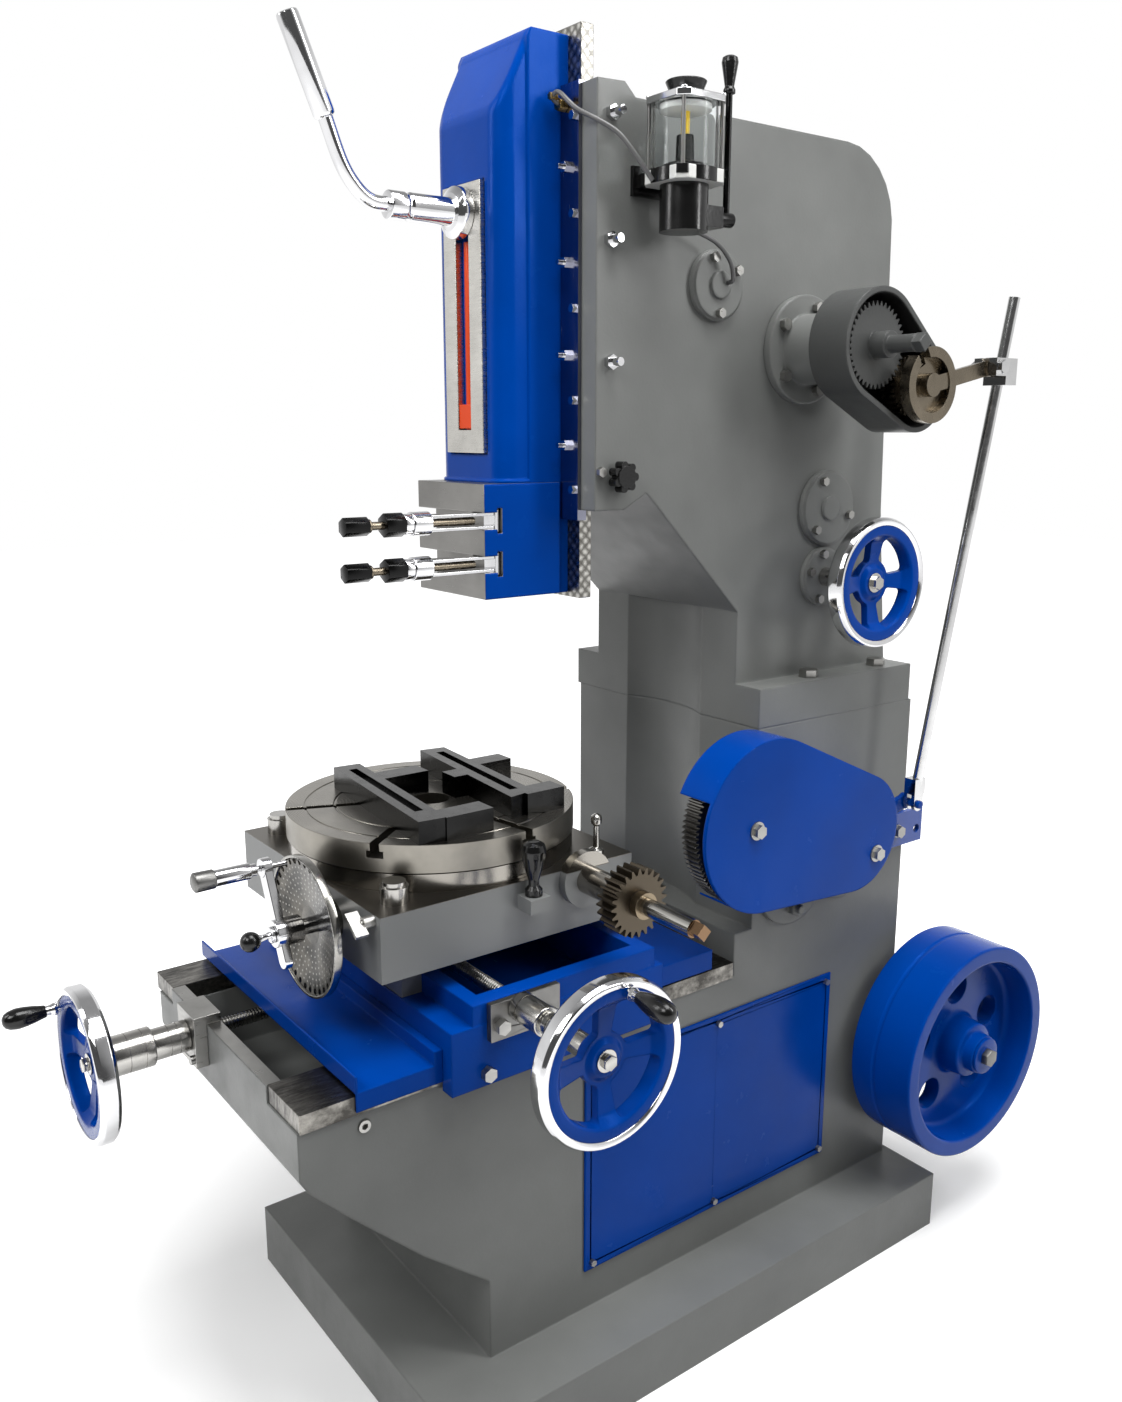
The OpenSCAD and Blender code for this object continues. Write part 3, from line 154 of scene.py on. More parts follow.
# the radius is one number, or a list with one for each point of the path
def tube(bm, path, radius, sides=20, slot=0):
    rings = []
    side = None
    for i, here in enumerate(path):
        ahead = (path[min(i + 1, len(path) - 1)] - path[max(i - 1, 0)]).normalized()
        if side is None:
            side = ahead.orthogonal().normalized()
        side = (side - ahead * side.dot(ahead)).normalized()
        other = ahead.cross(side)
        size = radius[i] if isinstance(radius, list) else radius
        angles = [math.tau * k / sides for k in range(sides)]
        rings.append([bm.verts.new(here + (side * math.cos(angle) + other * math.sin(angle)) * size)
                      for angle in angles])
    made = [bm.faces.new(rings[0]), bm.faces.new(rings[-1])]
    for one, two in zip(rings, rings[1:]):
        for k in range(sides):
            after = (k + 1) % sides
            made.append(bm.faces.new((one[k], one[after], two[after], two[k])))
    for face in made:
        face.material_index = slot


def toObject(bm, name, materials, smooth=35):
    bmesh.ops.remove_doubles(bm, verts=bm.verts, dist=0.000002)
    bmesh.ops.recalc_face_normals(bm, faces=bm.faces)
    mesh = bpy.data.meshes.new(name)
    bm.to_mesh(mesh)
    bm.free()
    for material in materials:
        mesh.materials.append(material)
    mesh.shade_smooth()
    mesh.set_sharp_from_angle(angle=math.radians(smooth))
    obj = bpy.data.objects.new(name, mesh)
    bpy.context.scene.collection.objects.link(obj)
    return obj


def carve(obj, cutter):
    cut = obj.modifiers.new("cut", "BOOLEAN")
    cut.operation = "DIFFERENCE"
    cut.solver = "EXACT"
    cut.object = cutter
    graph = bpy.context.evaluated_depsgraph_get()
    mesh = bpy.data.meshes.new_from_object(obj.evaluated_get(graph))
    obj.modifiers.clear()
    obj.data = mesh
    mesh.shade_smooth()
    mesh.set_sharp_from_angle(angle=sharpAngle)
    bpy.data.objects.remove(cutter)


def easeEdges(obj, width, segments=2):
    bevel = obj.modifiers.new("bevel", "BEVEL")
    bevel.width = width
    bevel.segments = segments
    bevel.limit_method = "ANGLE"
    bevel.angle_limit = sharpAngle
    obj.modifiers.new("normals", "WEIGHTED_NORMAL").keep_sharp = True


def place(obj, body, replaced=(), eased=0.0, segments=2):
    if eased:
        easeEdges(obj, eased, segments)
    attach(obj, body)
    if replaced:
        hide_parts(*replaced)


# an input is linked where its value is another node's output, and set where it is a number or colour
def setInputs(tree, node, inputs):
    for key, value in inputs.items():
        if isinstance(value, bpy.types.NodeSocket):
            tree.links.new(value, node.inputs[key])
        else:
            node.inputs[key].default_value = value


def addNode(tree, kind, inputs=None, **values):
    node = tree.nodes.new(kind)
    for key, value in values.items():
        setattr(node, key, value)
    setInputs(tree, node, inputs or {})
    return node


def newMaterial(name, colour, metallic, roughness):
    mat = bpy.data.materials.new(name)
    mat.use_nodes = True
    mat.diffuse_color = (*colour, 1)
    tree = mat.node_tree
    shader = tree.nodes["Principled BSDF"]
    setInputs(tree, shader, {"Base Color": (*colour, 1), "Metallic": metallic, "Roughness": roughness})
    return mat, tree, shader


def objectCoords(tree, scale=(1, 1, 1), location=(0, 0, 0), rotation=(0, 0, 0)):
    coord = addNode(tree, "ShaderNodeTexCoord").outputs["Object"]
    return addNode(tree, "ShaderNodeMapping", {"Vector": coord, "Scale": scale, "Location": location,
                                               "Rotation": rotation}).outputs["Vector"]


def splitVector(tree, vector):
    return list(addNode(tree, "ShaderNodeSeparateXYZ", {"Vector": vector}).outputs)


def noiseOn(tree, vector, scale, detail=4, roughness=0.5):
    return addNode(tree, "ShaderNodeTexNoise", {"Vector": vector, "Scale": scale, "Detail": detail,
                                                "Roughness": roughness}).outputs["Fac"]


def rampBetween(tree, value, stops):
    ramp = addNode(tree, "ShaderNodeValToRGB", {"Fac": value})
    elements = ramp.color_ramp.elements
    while len(elements) < len(stops):
        elements.new(0.5)
    for element, (position, colour) in zip(elements, stops):
        element.position = position
        element.color = (*colour, 1)
    return ramp.outputs["Color"]


def mapRange(tree, value, low, high, outLow, outHigh):
    return addNode(tree, "ShaderNodeMapRange", {"Value": value, "From Min": low, "From Max": high,
                                                "To Min": outLow, "To Max": outHigh}).outputs["Result"]


def maths(tree, kind, *values):
    return addNode(tree, "ShaderNodeMath", dict(enumerate(values)), operation=kind).outputs["Value"]


def bumpFrom(tree, shader, height, strength, distance):
    bump = addNode(tree, "ShaderNodeBump", {"Height": height, "Strength": strength, "Distance": distance})
    setInputs(tree, shader, {"Normal": bump.outputs["Normal"]})
    return bump


def shade(colour, factor):
    return tuple(min(1, c * factor) for c in colour)


# cloudy gloss paint: shine tints what it reflects, edge is the width of its soft corners
def paintMaterial(name, colour, roughness, reflect=0.30, shine=(1, 1, 1), coat=0.0, edge=0.003):
    mat, tree, shader = newMaterial(name, colour, 0.0, roughness)
    where = objectCoords(tree)
    cloud = noiseOn(tree, where, 3.2, 5, 0.55)
    patches = noiseOn(tree, where, 14, 4, 0.6)
    setInputs(tree, shader, {
        "Base Color": rampBetween(tree, cloud, [(0.3, shade(colour, 0.80)), (0.7, shade(colour, 1.12))]),
        "Roughness": mapRange(tree, patches, 0.3, 0.7, roughness - 0.06, roughness + 0.10),
        "Specular IOR Level": reflect, "Specular Tint": (*shine, 1),
        "Coat Weight": coat, "Coat Roughness": 0.12})
    peel = noiseOn(tree, where, 220, 2, 0.5)
    waves = noiseOn(tree, where, 9, 3, 0.5)
    bump = bumpFrom(tree, shader, maths(tree, "MULTIPLY_ADD", waves, 6.0, peel), 0.10, 0.0015)
    corners = addNode(tree, "ShaderNodeBevel", {"Radius": edge}, samples=4)
    setInputs(tree, bump, {"Normal": corners.outputs["Normal"]})
    return mat


# grain stretches the tool marks, spread is how far the roughness wanders
def metalMaterial(name, colour, roughness, grain=(1, 1, 1), grainScale=60, bump=0.05, spread=0.12):
    mat, tree, shader = newMaterial(name, colour, 1.0, roughness)
    lines = noiseOn(tree, objectCoords(tree, scale=grain), grainScale, 6, 0.65)
    patches = noiseOn(tree, objectCoords(tree), 7, 4, 0.6)
    setInputs(tree, shader, {
        "Base Color": rampBetween(tree, patches, [(0.25, shade(colour, 0.72)), (0.7, shade(colour, 1.12))]),
        "Roughness": mapRange(tree, lines, 0.3, 0.7, roughness - spread * 0.6, roughness + spread)})
    bumpFrom(tree, shader, lines, bump, 0.0006)
    return mat


# hand-scraped squares on two crossing diagonals, for the upright slide
def scrapedMaterial(name, pitch, dark, light):
    mat, tree, shader = newMaterial(name, light, 1.0, 0.32)
    calc = partial(maths, tree)
    where = objectCoords(tree)
    x, y, z = splitVector(tree, where)
    waver = calc("MULTIPLY", noiseOn(tree, where, 60, 3, 0.6), 0.012)
    flat = calc("ADD", calc("ADD", x, y), waver)
    rising, falling = [calc("PINGPONG", calc("DIVIDE", calc(way, flat, z), pitch), 0.5)
                       for way in ("ADD", "SUBTRACT")]
    patch = noiseOn(tree, where, 110, 5, 0.7)
    squares = calc("ADD", calc("MULTIPLY", rising, falling), 0.03)
    height = calc("MULTIPLY", squares, calc("ADD", patch, 0.2))
    setInputs(tree, shader, {"Base Color": rampBetween(tree, height, [(0.015, dark), (0.14, light)]),
                             "Roughness": mapRange(tree, patch, 0.35, 0.65, 0.22, 0.42)})
    bumpFrom(tree, shader, height, 0.6, 0.0022)
    return mat


# short crossing scraper strokes, for the slideways of the bed
def flakedMaterial(name, dark, light):
    mat, tree, shader = newMaterial(name, dark, 1.0, 0.30)
    strokes = [noiseOn(tree, objectCoords(tree, scale=(1, 0.22, 0.3), rotation=(0, 0, turn)), 85, 5, 0.7)
               for turn in (0.7, -0.9)]
    height = maths(tree, "MAXIMUM", *strokes)
    stain = noiseOn(tree, objectCoords(tree), 9, 4, 0.6)
    mixed = maths(tree, "MULTIPLY", height, maths(tree, "ADD", stain, 0.35))
    setInputs(tree, shader, {"Base Color": rampBetween(tree, mixed, [(0.40, dark), (0.62, light)]),
                             "Roughness": mapRange(tree, height, 0.4, 0.75, 0.42, 0.22)})
    bumpFrom(tree, shader, height, 0.35, 0.001)
    return mat


def glassMaterial(name, colour, roughness=0.02):
    mat, tree, shader = newMaterial(name, colour, 0.0, roughness)
    streaks = noiseOn(tree, objectCoords(tree, scale=(1, 1, 0.2)), 60, 3, 0.5)
    setInputs(tree, shader, {"Transmission Weight": 1.0, "IOR": 1.18,
                             "Roughness": mapRange(tree, streaks, 0.3, 0.7, roughness, roughness + 0.06)})
    return mat


# turning rings around an upright line through the centre
def ringedMaterial(name, colour, roughness, centre, pitch):
    mat, tree, shader = newMaterial(name, colour, 1.0, roughness)
    where = objectCoords(tree, location=tuple(-v for v in centre))
    inputs = {"Vector": where, "Scale": 0.314 / pitch, "Distortion": 0.6, "Detail": 2}
    rings = addNode(tree, "ShaderNodeTexWave", inputs, wave_type="RINGS", rings_direction="Z").outputs["Fac"]
    patches = noiseOn(tree, where, 9, 4, 0.6)
    setInputs(tree, shader, {
        "Base Color": rampBetween(tree, patches, [(0.25, shade(colour, 0.70)), (0.7, shade(colour, 1.15))]),
        "Roughness": mapRange(tree, rings, 0, 1, roughness - 0.05, roughness + 0.1), "Anisotropic": 0.5})
    bumpFrom(tree, shader, rings, 0.25, 0.0002)
    return mat


# a zone is (place where it starts, colour, metallic, roughness)
def zonedMaterial(name, axis, low, high, zones):
    starts, colours, metallics, roughnesses = zip(*zones)
    mat, tree, shader = newMaterial(name, colours[0], metallics[0], roughnesses[0])
    where = objectCoords(tree)
    along = mapRange(tree, splitVector(tree, where)["XYZ".index(axis)], low, high, 0, 1)
    spots = [(start - low) / (high - low) for start in starts]
    for key, values in (("Base Color", colours), ("Metallic", [(v,) * 3 for v in metallics]),
                        ("Roughness", [(v,) * 3 for v in roughnesses])):
        steps = rampBetween(tree, along, list(zip(spots, values)))
        steps.node.color_ramp.interpolation = "CONSTANT"
        setInputs(tree, shader, {key: steps})
    bumpFrom(tree, shader, noiseOn(tree, where, 40, 4, 0.6), 0.05, 0.0006)
    return mat


castPaint = {"colour": (0.160, 0.165, 0.159), "roughness": 0.34, "edge": 0.005}
darkPaint = {"colour": (0.060, 0.062, 0.061), "roughness": 0.34}
blueEnamel = {"colour": (0.0, 0.045, 0.300), "roughness": 0.19, "reflect": 0.16, "shine": (0.02, 0.22, 1.0),
              "edge": 0.004}
tableCentre = (-0.045, -0.333, 0.925)

greyPaint = paintMaterial("greyPaint", **castPaint)
bluePaint = paintMaterial("bluePaint", **blueEnamel)
darkGrey = paintMaterial("darkGrey", **darkPaint)
# near black: the real pump body seen through the glass, and painted shade on the sheet inside the feed case
darkInside = paintMaterial("darkInside", (0.008, 0.008, 0.008), 0.45)
blackPlastic = paintMaterial("blackPlastic", (0.005, 0.005, 0.005), 0.17, reflect=0.35, edge=0.0008)
orangeEnamel = paintMaterial("orangeEnamel", (0.70, 0.060, 0.006), 0.30, reflect=0.2, edge=0.001)
hoseGrey = paintMaterial("hoseGrey", (0.10, 0.10, 0.10), 0.30, coat=0.2, edge=0.0005)
labelWhite = paintMaterial("labelWhite", (0.62, 0.62, 0.60), 0.35, coat=0.2)
yellowPlastic = paintMaterial("yellowPlastic", (0.75, 0.50, 0.03), 0.35, coat=0.2)
clearTube = glassMaterial("clearTube", (0.95, 0.97, 0.97))

blackEnamel = metalMaterial("blackEnamel", (0.020, 0.020, 0.020), 0.22, bump=0.03, spread=0.08)
turnedSteel = metalMaterial("turnedSteel", (0.42, 0.41, 0.39), 0.20, grainScale=90, bump=0.015, spread=0.06)
millSteel = metalMaterial("millSteel", (0.34, 0.335, 0.32), 0.32, grain=(1, 1, 8), grainScale=40)
darkSteel = metalMaterial("darkSteel", (0.17, 0.168, 0.162), 0.36, grainScale=50, bump=0.12)
gearSteel = metalMaterial("gearSteel", (0.16, 0.155, 0.145), 0.34, grainScale=70, bump=0.08)
polished = metalMaterial("polished", (0.66, 0.66, 0.67), 0.08, grainScale=30, bump=0.006, spread=0.04)
stripSteel = metalMaterial("stripSteel", (0.26, 0.265, 0.33), 0.16, grain=(4, 4, 0.3), bump=0.04)
oldBrass = metalMaterial("oldBrass", (0.30, 0.21, 0.08), 0.26)
threadSteel = metalMaterial("threadSteel", (0.28, 0.275, 0.26), 0.24, grainScale=50)
bronzeSteel = metalMaterial("bronzeSteel", (0.165, 0.14, 0.105), 0.24, grainScale=50)
headSteel = metalMaterial("headSteel", (0.22, 0.215, 0.205), 0.32, grain=(1, 1, 6), grainScale=30, bump=0.08)
plateSteel = metalMaterial("plateSteel", (0.58, 0.565, 0.53), 0.26, grain=(1, 1, 8), grainScale=40, bump=0.02)
rodSteel = metalMaterial("rodSteel", (0.55, 0.55, 0.55), 0.14, grainScale=40, bump=0.02, spread=0.06)

scrapedFine = scrapedMaterial("scrapedFine", 0.0165, (0.11, 0.105, 0.095), (0.48, 0.47, 0.44))
scrapedWay = flakedMaterial("scrapedWay", (0.050, 0.047, 0.043), (0.24, 0.23, 0.21))
tableSteel = ringedMaterial("tableSteel", (0.27, 0.255, 0.225), 0.24, tableCentre, 0.0022)
bracketZones = zonedMaterial("bracketZones", "Y", 0.0, 0.50, [
    (0.0, darkPaint["colour"], 0, 0.34), (0.371, blueEnamel["colour"], 0, 0.24)])
wormZones = zonedMaterial("wormZones", "X", 0.12, 0.47, [
    (0.12, (0.34, 0.32, 0.29), 1, 0.18), (0.2895, (0.075, 0.062, 0.046), 1, 0.36),
    (0.3255, (0.20, 0.16, 0.11), 1, 0.28), (0.3405, (0.50, 0.49, 0.46), 1, 0.10),
    (0.4395, (0.17, 0.105, 0.06), 1, 0.26)])
housingZones = zonedMaterial("housingZones", "Z", 0.70, 0.90, [
    (0.70, (0.165, 0.17, 0.168), 0, 0.34), (0.8522, (0.13, 0.12, 0.105), 1, 0.32),
    (0.8538, (0.27, 0.255, 0.23), 1, 0.20)])
print("finishes made")

finishes = [
    (greyPaint, "base column round_covers feed_flange fly_bracket"),
    (darkGrey, "feed_case feed_gear"),
    (bluePaint, "side_panel lower_arm guard column_wheel flywheel ram_body y_wheel saddle trays x_wheel"),
    (blackPlastic, "star_knob pump_body x_grip index_knob pear_handle"),
    (blackEnamel, "pump_lever tool_screws clamp_bars"),
    (orangeEnamel, "stroke_screw stroke_nut"),
    (clearTube, "pump_glass"),
    (turnedSteel, "column_shaft fly_shaft x_shaft y_shaft tool_shackles clamp_pillars index_handle "
                  "small_lever"),
    (millSteel, "frame_bolts pump_caps y_bearing saddle_bolts wing_screw"),
    (darkSteel, "oil_pipes x_bearing index_plate"),
    (gearSteel, "big_gear pinion"),
    (polished, "set_screws clamp_lever y_grip index_crank"),
    (stripSteel, "guide_strips"),
    (bronzeSteel, "feed_lever"),
    (rodSteel, "link_rod"),
    (plateSteel, "slot_plate"),
    (scrapedFine, "ram_slide"),
    (scrapedWay, "bed_ways"),
    (tableSteel, "rotary_table"),
    (bracketZones, "gear_bracket"),
    (wormZones, "worm_shaft"),
    (housingZones, "table_housing"),
]
finishOf = {name: material for material, names in finishes for name in names.split()}

# widths of the eased edges that differ from the usual one
usualEdge = 0.0012
easedEdges = {"big_gear": 0.0003, "pinion": 0.0003, "feed_gear": 0.0003, "feed_lever": 0.0004,
              "worm_shaft": 0.0004, "trays": 0.0005, "rotary_table": 0.0008, "set_screws": 0.0005,
              "frame_bolts": 0.0006, "index_plate": 0.0005, "oil_pipes": 0.0001, "pump_glass": 0.0005}

for name, obj in nodes.items():
    obj.data.materials.clear()
    obj.data.materials.append(finishOf[name])
    obj.modifiers.new("weld", "WELD").merge_threshold = 0.00001
    easeEdges(obj, easedEdges.get(name, usualEdge))
print("solids finished")

handwheels = {
    "column_wheel": {"body": "column_drive", "centre": (0.305, 0.323, 1.255), "axis": "X", "out": 1,
                     "rim": 0.107},
    "x_wheel": {"body": "x_drive", "centre": (0.478, -0.376, 0.702), "axis": "X", "out": 1, "rim": 0.117,
                "ferrule": (-0.352, 0.797)},
    "y_wheel": {"body": "y_drive", "centre": (-0.123, -0.888, 0.602), "axis": "Y", "out": -1, "rim": 0.117,
                "ferrule": (-0.201, 0.664)},
}
wheelShape = {"bore": 0.0112, "hub": 0.027, "hubFront": 0.019, "hubBack": 0.048, "spokeHalf": 0.013,
              "band": 0.0125, "spokes": 4, "cutReach": 0.07}


def wheelProfile(rim, shape):
    hub, bore, seat = shape["hub"], shape["bore"], rim - shape["band"]
    front, back = shape["hubFront"], shape["hubBack"]
    return [(bore, front), (hub - 0.004, front, 0.002), (hub + 0.004, 0.024, 0.004),
            (rim - 0.040, 0.0175, 0.008), (rim - 0.028, 0.004, 0.004), (rim - 0.020, 0.0035, 0.002),
            (seat, 0.0035), (seat, 0.0275), (rim - 0.027, 0.0275, 0.003), (rim - 0.036, 0.029, 0.004),
            (hub + 0.008, 0.036, 0.006), (hub, back, 0.002), (bore, back)]


def bandProfile(rim):
    return [(rim - 0.0127, 0.0025, 0.0015), (rim - 0.004, -0.0005, 0.003), (rim, 0.007, 0.004),
            (rim, 0.0245, 0.003), (rim - 0.004, 0.030, 0.003), (rim - 0.0127, 0.030, 0.0015)]


# the opening between two spokes, which taper towards the hub
def wheelWindow(centre, middle, rim, shape):
    points = []
    for radius, order, steps, half in ((rim - 0.0305, 1, 12, shape["spokeHalf"] + 0.003),
                                       (shape["hub"] + 0.010, -1, 6, shape["spokeHalf"] - 0.002)):
        reach = math.pi / shape["spokes"] - math.asin(half / radius)
        for i in range(steps + 1):
            corner = 0.006 if i in (0, steps) else 0
            points.append((*onCircle(centre, radius, middle + order * reach * (2 * i / steps - 1)), corner))
    return points


def handwheel(name, shape, body, centre, axis, out, rim, ferrule=None):
    c = Vector(centre)
    along, across, up = axes[axis]
    face = along.dot(c)
    web = bmesh.new()
    lathe(web, behindFace(wheelProfile(rim, shape), face, out), c, axis, 96, closed=True)
    webObject = toObject(web, name + "_web", [bluePaint])
    cutter = bmesh.new()
    for k in range(shape["spokes"]):
        middle = math.radians(45) + math.tau * k / shape["spokes"]
        window = wheelWindow((across.dot(c), up.dot(c)), middle, rim, shape)
        extruded(cutter, window, axis, face - shape["cutReach"], face + shape["cutReach"], segments=4)
    carve(webObject, toObject(cutter, name + "_cutter", [bluePaint]))
    place(webObject, body, [name], eased=0.0018, segments=3)
    band = bmesh.new()
    lathe(band, behindFace(bandProfile(rim), face, out), c, axis, 128, closed=True)
    if ferrule:
        a, b = ferrule
        washer = [(0, 0.0325), (0.011, 0.0325, 0.001), (0.011, 0.0295, 0.001), (0.006, 0.029), (0, 0.029)]
        lathe(band, behindFace(washer, face, out), along * face + across * a + up * b, axis, 32)
    place(toObject(band, name + "_band", [polished], smooth=50), body)


for name, spec in handwheels.items():
    handwheel(name, wheelShape, **spec)
print("handwheels made")

flyShape = {"centre": (0.250, 0.580, 0.367), "rim": 0.203, "width": 0.130, "bore": 0.0222, "holes": 5,
            "holeRadius": 0.030, "holeCircle": 0.108, "shaft": 0.0218, "shaftStart": 0.020, "nut": 0.017}


# depths here grow outwards from the wheel's inner side
def flywheelProfile(r, w, bore):
    return [(bore, 0.010), (0.050, 0.010, 0.003), (0.054, 0.045, 0.010), (r - 0.038, 0.045, 0.010),
            (r - 0.032, 0, 0.004), (r, 0, 0.004), (r, 0.045, 0.001), (r - 0.002, 0.047, 0.001),
            (r - 0.002, 0.052, 0.001), (r, 0.054, 0.001), (r, w, 0.004), (r - 0.030, w, 0.004),
            (r - 0.034, 0.075, 0.012), (0.056, 0.075, 0.010), (0.051, w - 0.010, 0.004),
            (0.038, w - 0.008, 0.003), (0.036, w + 0.012, 0.003), (bore, w + 0.012)]


def flywheel(centre, rim, width, bore, holes, holeRadius, holeCircle, shaft, shaftStart, nut):
    x = centre[0]
    outer = x + width
    bm = bmesh.new()
    lathe(bm, behindFace(flywheelProfile(rim, width, bore), x, -1), centre, "X", 128, closed=True)
    obj = toObject(bm, "flywheel_casting", [bluePaint])
    cutter = bmesh.new()
    for k in range(holes):
        angle = math.radians(90) + math.tau * k / holes
        middle = (x, *onCircle(centre[1:], holeCircle, angle))
        rod(cutter, middle, "X", holeRadius, x + 0.02, x + 0.10, steps=48)
    carve(obj, toObject(cutter, "flyCutter", [bluePaint]))
    place(obj, "fly", ["flywheel"], eased=0.0025, segments=3)
    end = bmesh.new()
    cone = [(0, -0.0008), (0.034, 0.0122), (0.034, 0.0175, 0.001), (0.012, 0.018)]
    lathe(end, behindFace(cone, outer, -1), centre, "X", 48, slot=2)
    rod(end, centre, "X", shaft, shaftStart, outer + 0.0118, 0.001, 48)
    hexagon(end, centre, "X", nut, outer + 0.017, outer + 0.030, slot=1)
    place(toObject(end, "fly_spindle", [turnedSteel, darkSteel, bluePaint]), "fly", ["fly_shaft"])


flywheel(**flyShape)
print("flywheel made")

# a bar is (radius, start, end), a collar also has the places of its grooves
screws = {
    "bed_screw": {"body": "y_drive", "node": "y_shaft", "axis": "Y", "out": -1, "face": -0.888,
                  "centre": (-0.123, 0, 0.602), "thread": (-0.700, 0.114), "bar": (0.0110, -0.870, -0.699),
                  "collars": [(0.024, -0.7800, -0.7253, (-0.756, -0.742)),
                              (0.030, -0.8397, -0.7795, (-0.818, -0.795))]},
    "cross_screw": {"body": "x_drive", "node": "x_shaft", "axis": "X", "out": 1, "face": 0.478,
                    "centre": (0, -0.376, 0.702), "thread": (-0.303, 0.250), "bar": (0.0110, 0.249, 0.460),
                    "collars": [(0.022, 0.2663, 0.3300, (0.282,)), (0.017, 0.3295, 0.4297, (0.345, 0.400))]},
}
threadShape = {"radius": 0.011, "depth": 0.0016, "pitch": 0.005, "facets": 20, "groove": 0.0012,
               "washer": 0.016, "nut": 0.011}


# one turn of thread, repeated along the screw
def screwThread(name, c, axis, low, high, shape):
    along, across, _ = axes[axis]
    root, pitch = shape["radius"] - shape["depth"], shape["pitch"]
    turn = bmesh.new()
    tooth = ((root, 0), (root, 0.3), (shape["radius"], 0.42), (shape["radius"], 0.82), (root, 1.0))
    verts = [turn.verts.new(c + along * (low + t * pitch) + across * r) for r, t in tooth]
    edges = [turn.edges.new(pair) for pair in zip(verts, verts[1:])]
    bmesh.ops.spin(turn, geom=verts + edges, cent=c, axis=along, dvec=along * (pitch / shape["facets"]),
                   angle=math.tau, steps=shape["facets"])
    thread = toObject(turn, name + "_thread", [threadSteel], smooth=30)
    copies = thread.modifiers.new("turns", "ARRAY")
    copies.use_relative_offset = False
    copies.use_constant_offset = True
    copies.constant_offset_displace = along * pitch
    copies.count = int((high - low) / pitch)
    copies.use_merge_vertices = True
    copies.merge_threshold = 0.00001
    return thread


def leadScrew(name, shape, body, node, axis, out, face, centre, thread, bar, collars):
    low, high = thread
    c = Vector(centre)
    root, cut = shape["radius"] - shape["depth"], shape["groove"]
    place(screwThread(name, c, axis, low, high, shape), body)
    bm = bmesh.new()
    rod(bm, c, axis, *bar, 0.001, 40)
    stub = [(0, high - 0.001), (root, high - 0.001), (root, high + 0.002, 0.001), (0, high + 0.002)]
    lathe(bm, stub, c, axis, 40)
    for radius, start, end, grooves in collars:
        profile = [(0, start), (radius, start, 0.002)]
        for groove in grooves:
            profile += [(radius, groove - 0.001), (radius - cut, groove - 0.0008),
                        (radius - cut, groove + 0.0008), (radius, groove + 0.001)]
        lathe(bm, profile + [(radius, end, 0.002), (0, end)], c, axis, 56)
    washer, nut = [sorted((face - out * a, face - out * b)) for a, b in ((0.0187, 0.0165), (0.017, 0.008))]
    rod(bm, c, axis, shape["washer"], *washer, 0.0007, 40)
    hexagon(bm, c, axis, shape["nut"], *nut)
    place(toObject(bm, name, [turnedSteel], smooth=30), body, [node])


for name, spec in screws.items():
    leadScrew(name, threadShape, **spec)
print("lead screws made")

grips = {
    "x_grip": {"body": "x_handle", "root": (0.478, -0.352, 0.797), "axis": "X", "out": 1, "length": 0.082},
    "y_grip": {"body": "y_handle", "root": (-0.201, -0.888, 0.664), "axis": "Y", "out": -1, "length": 0.077},
}


# the steel pin with its ferrule, and the black grip that turns on it
def makeGrip(name, body, root, axis, out, length):
    n, face = length, axes[axis][0].dot(Vector(root))
    pin = [(0, -0.029), (0.006, -0.029), (0.006, 0.0004), (0.0092, 0.0004, 0.0008), (0.0096, 0.005, 0.001),
           (0.0078, 0.010, 0.002), (0.0074, 0.017), (0, 0.017)]
    grip = [(0, 0.0165), (0.0090, 0.0165, 0.0008), (0.0098, 0.021, 0.002), (0.0125, 0.032),
            (0.0146, 0.044), (0.0155, 0.055), (0.0152, n - 0.018), (0.0136, n - 0.010),
            (0.0104, n - 0.004), (0.0055, n - 0.0008), (0, n)]
    bm = bmesh.new()
    for slot, profile in enumerate((pin, grip)):
        lathe(bm, behindFace(profile, face, -out), root, axis, 40, slot=slot)
    place(toObject(bm, name + "_turned", [polished, blackPlastic], smooth=50), body, [name])


for name, spec in grips.items():
    makeGrip(name, **spec)
print("grips made")

indexShape = {"centre": (0.050, 0, 0.806), "front": -0.606, "back": -0.555, "radius": 0.104, "bore": 0.0122,
              "holeRing": 0.09485, "holeTurn": 115, "holes": 36, "holeRadius": 0.0043}
indexMarks = {"circles": ((0.086, 49), (0.078, 43), (0.070, 39), (0.062, 33), (0.054, 29), (0.046, 23),
                          (0.038, 19)), "ticks": (0.1022, 120)}


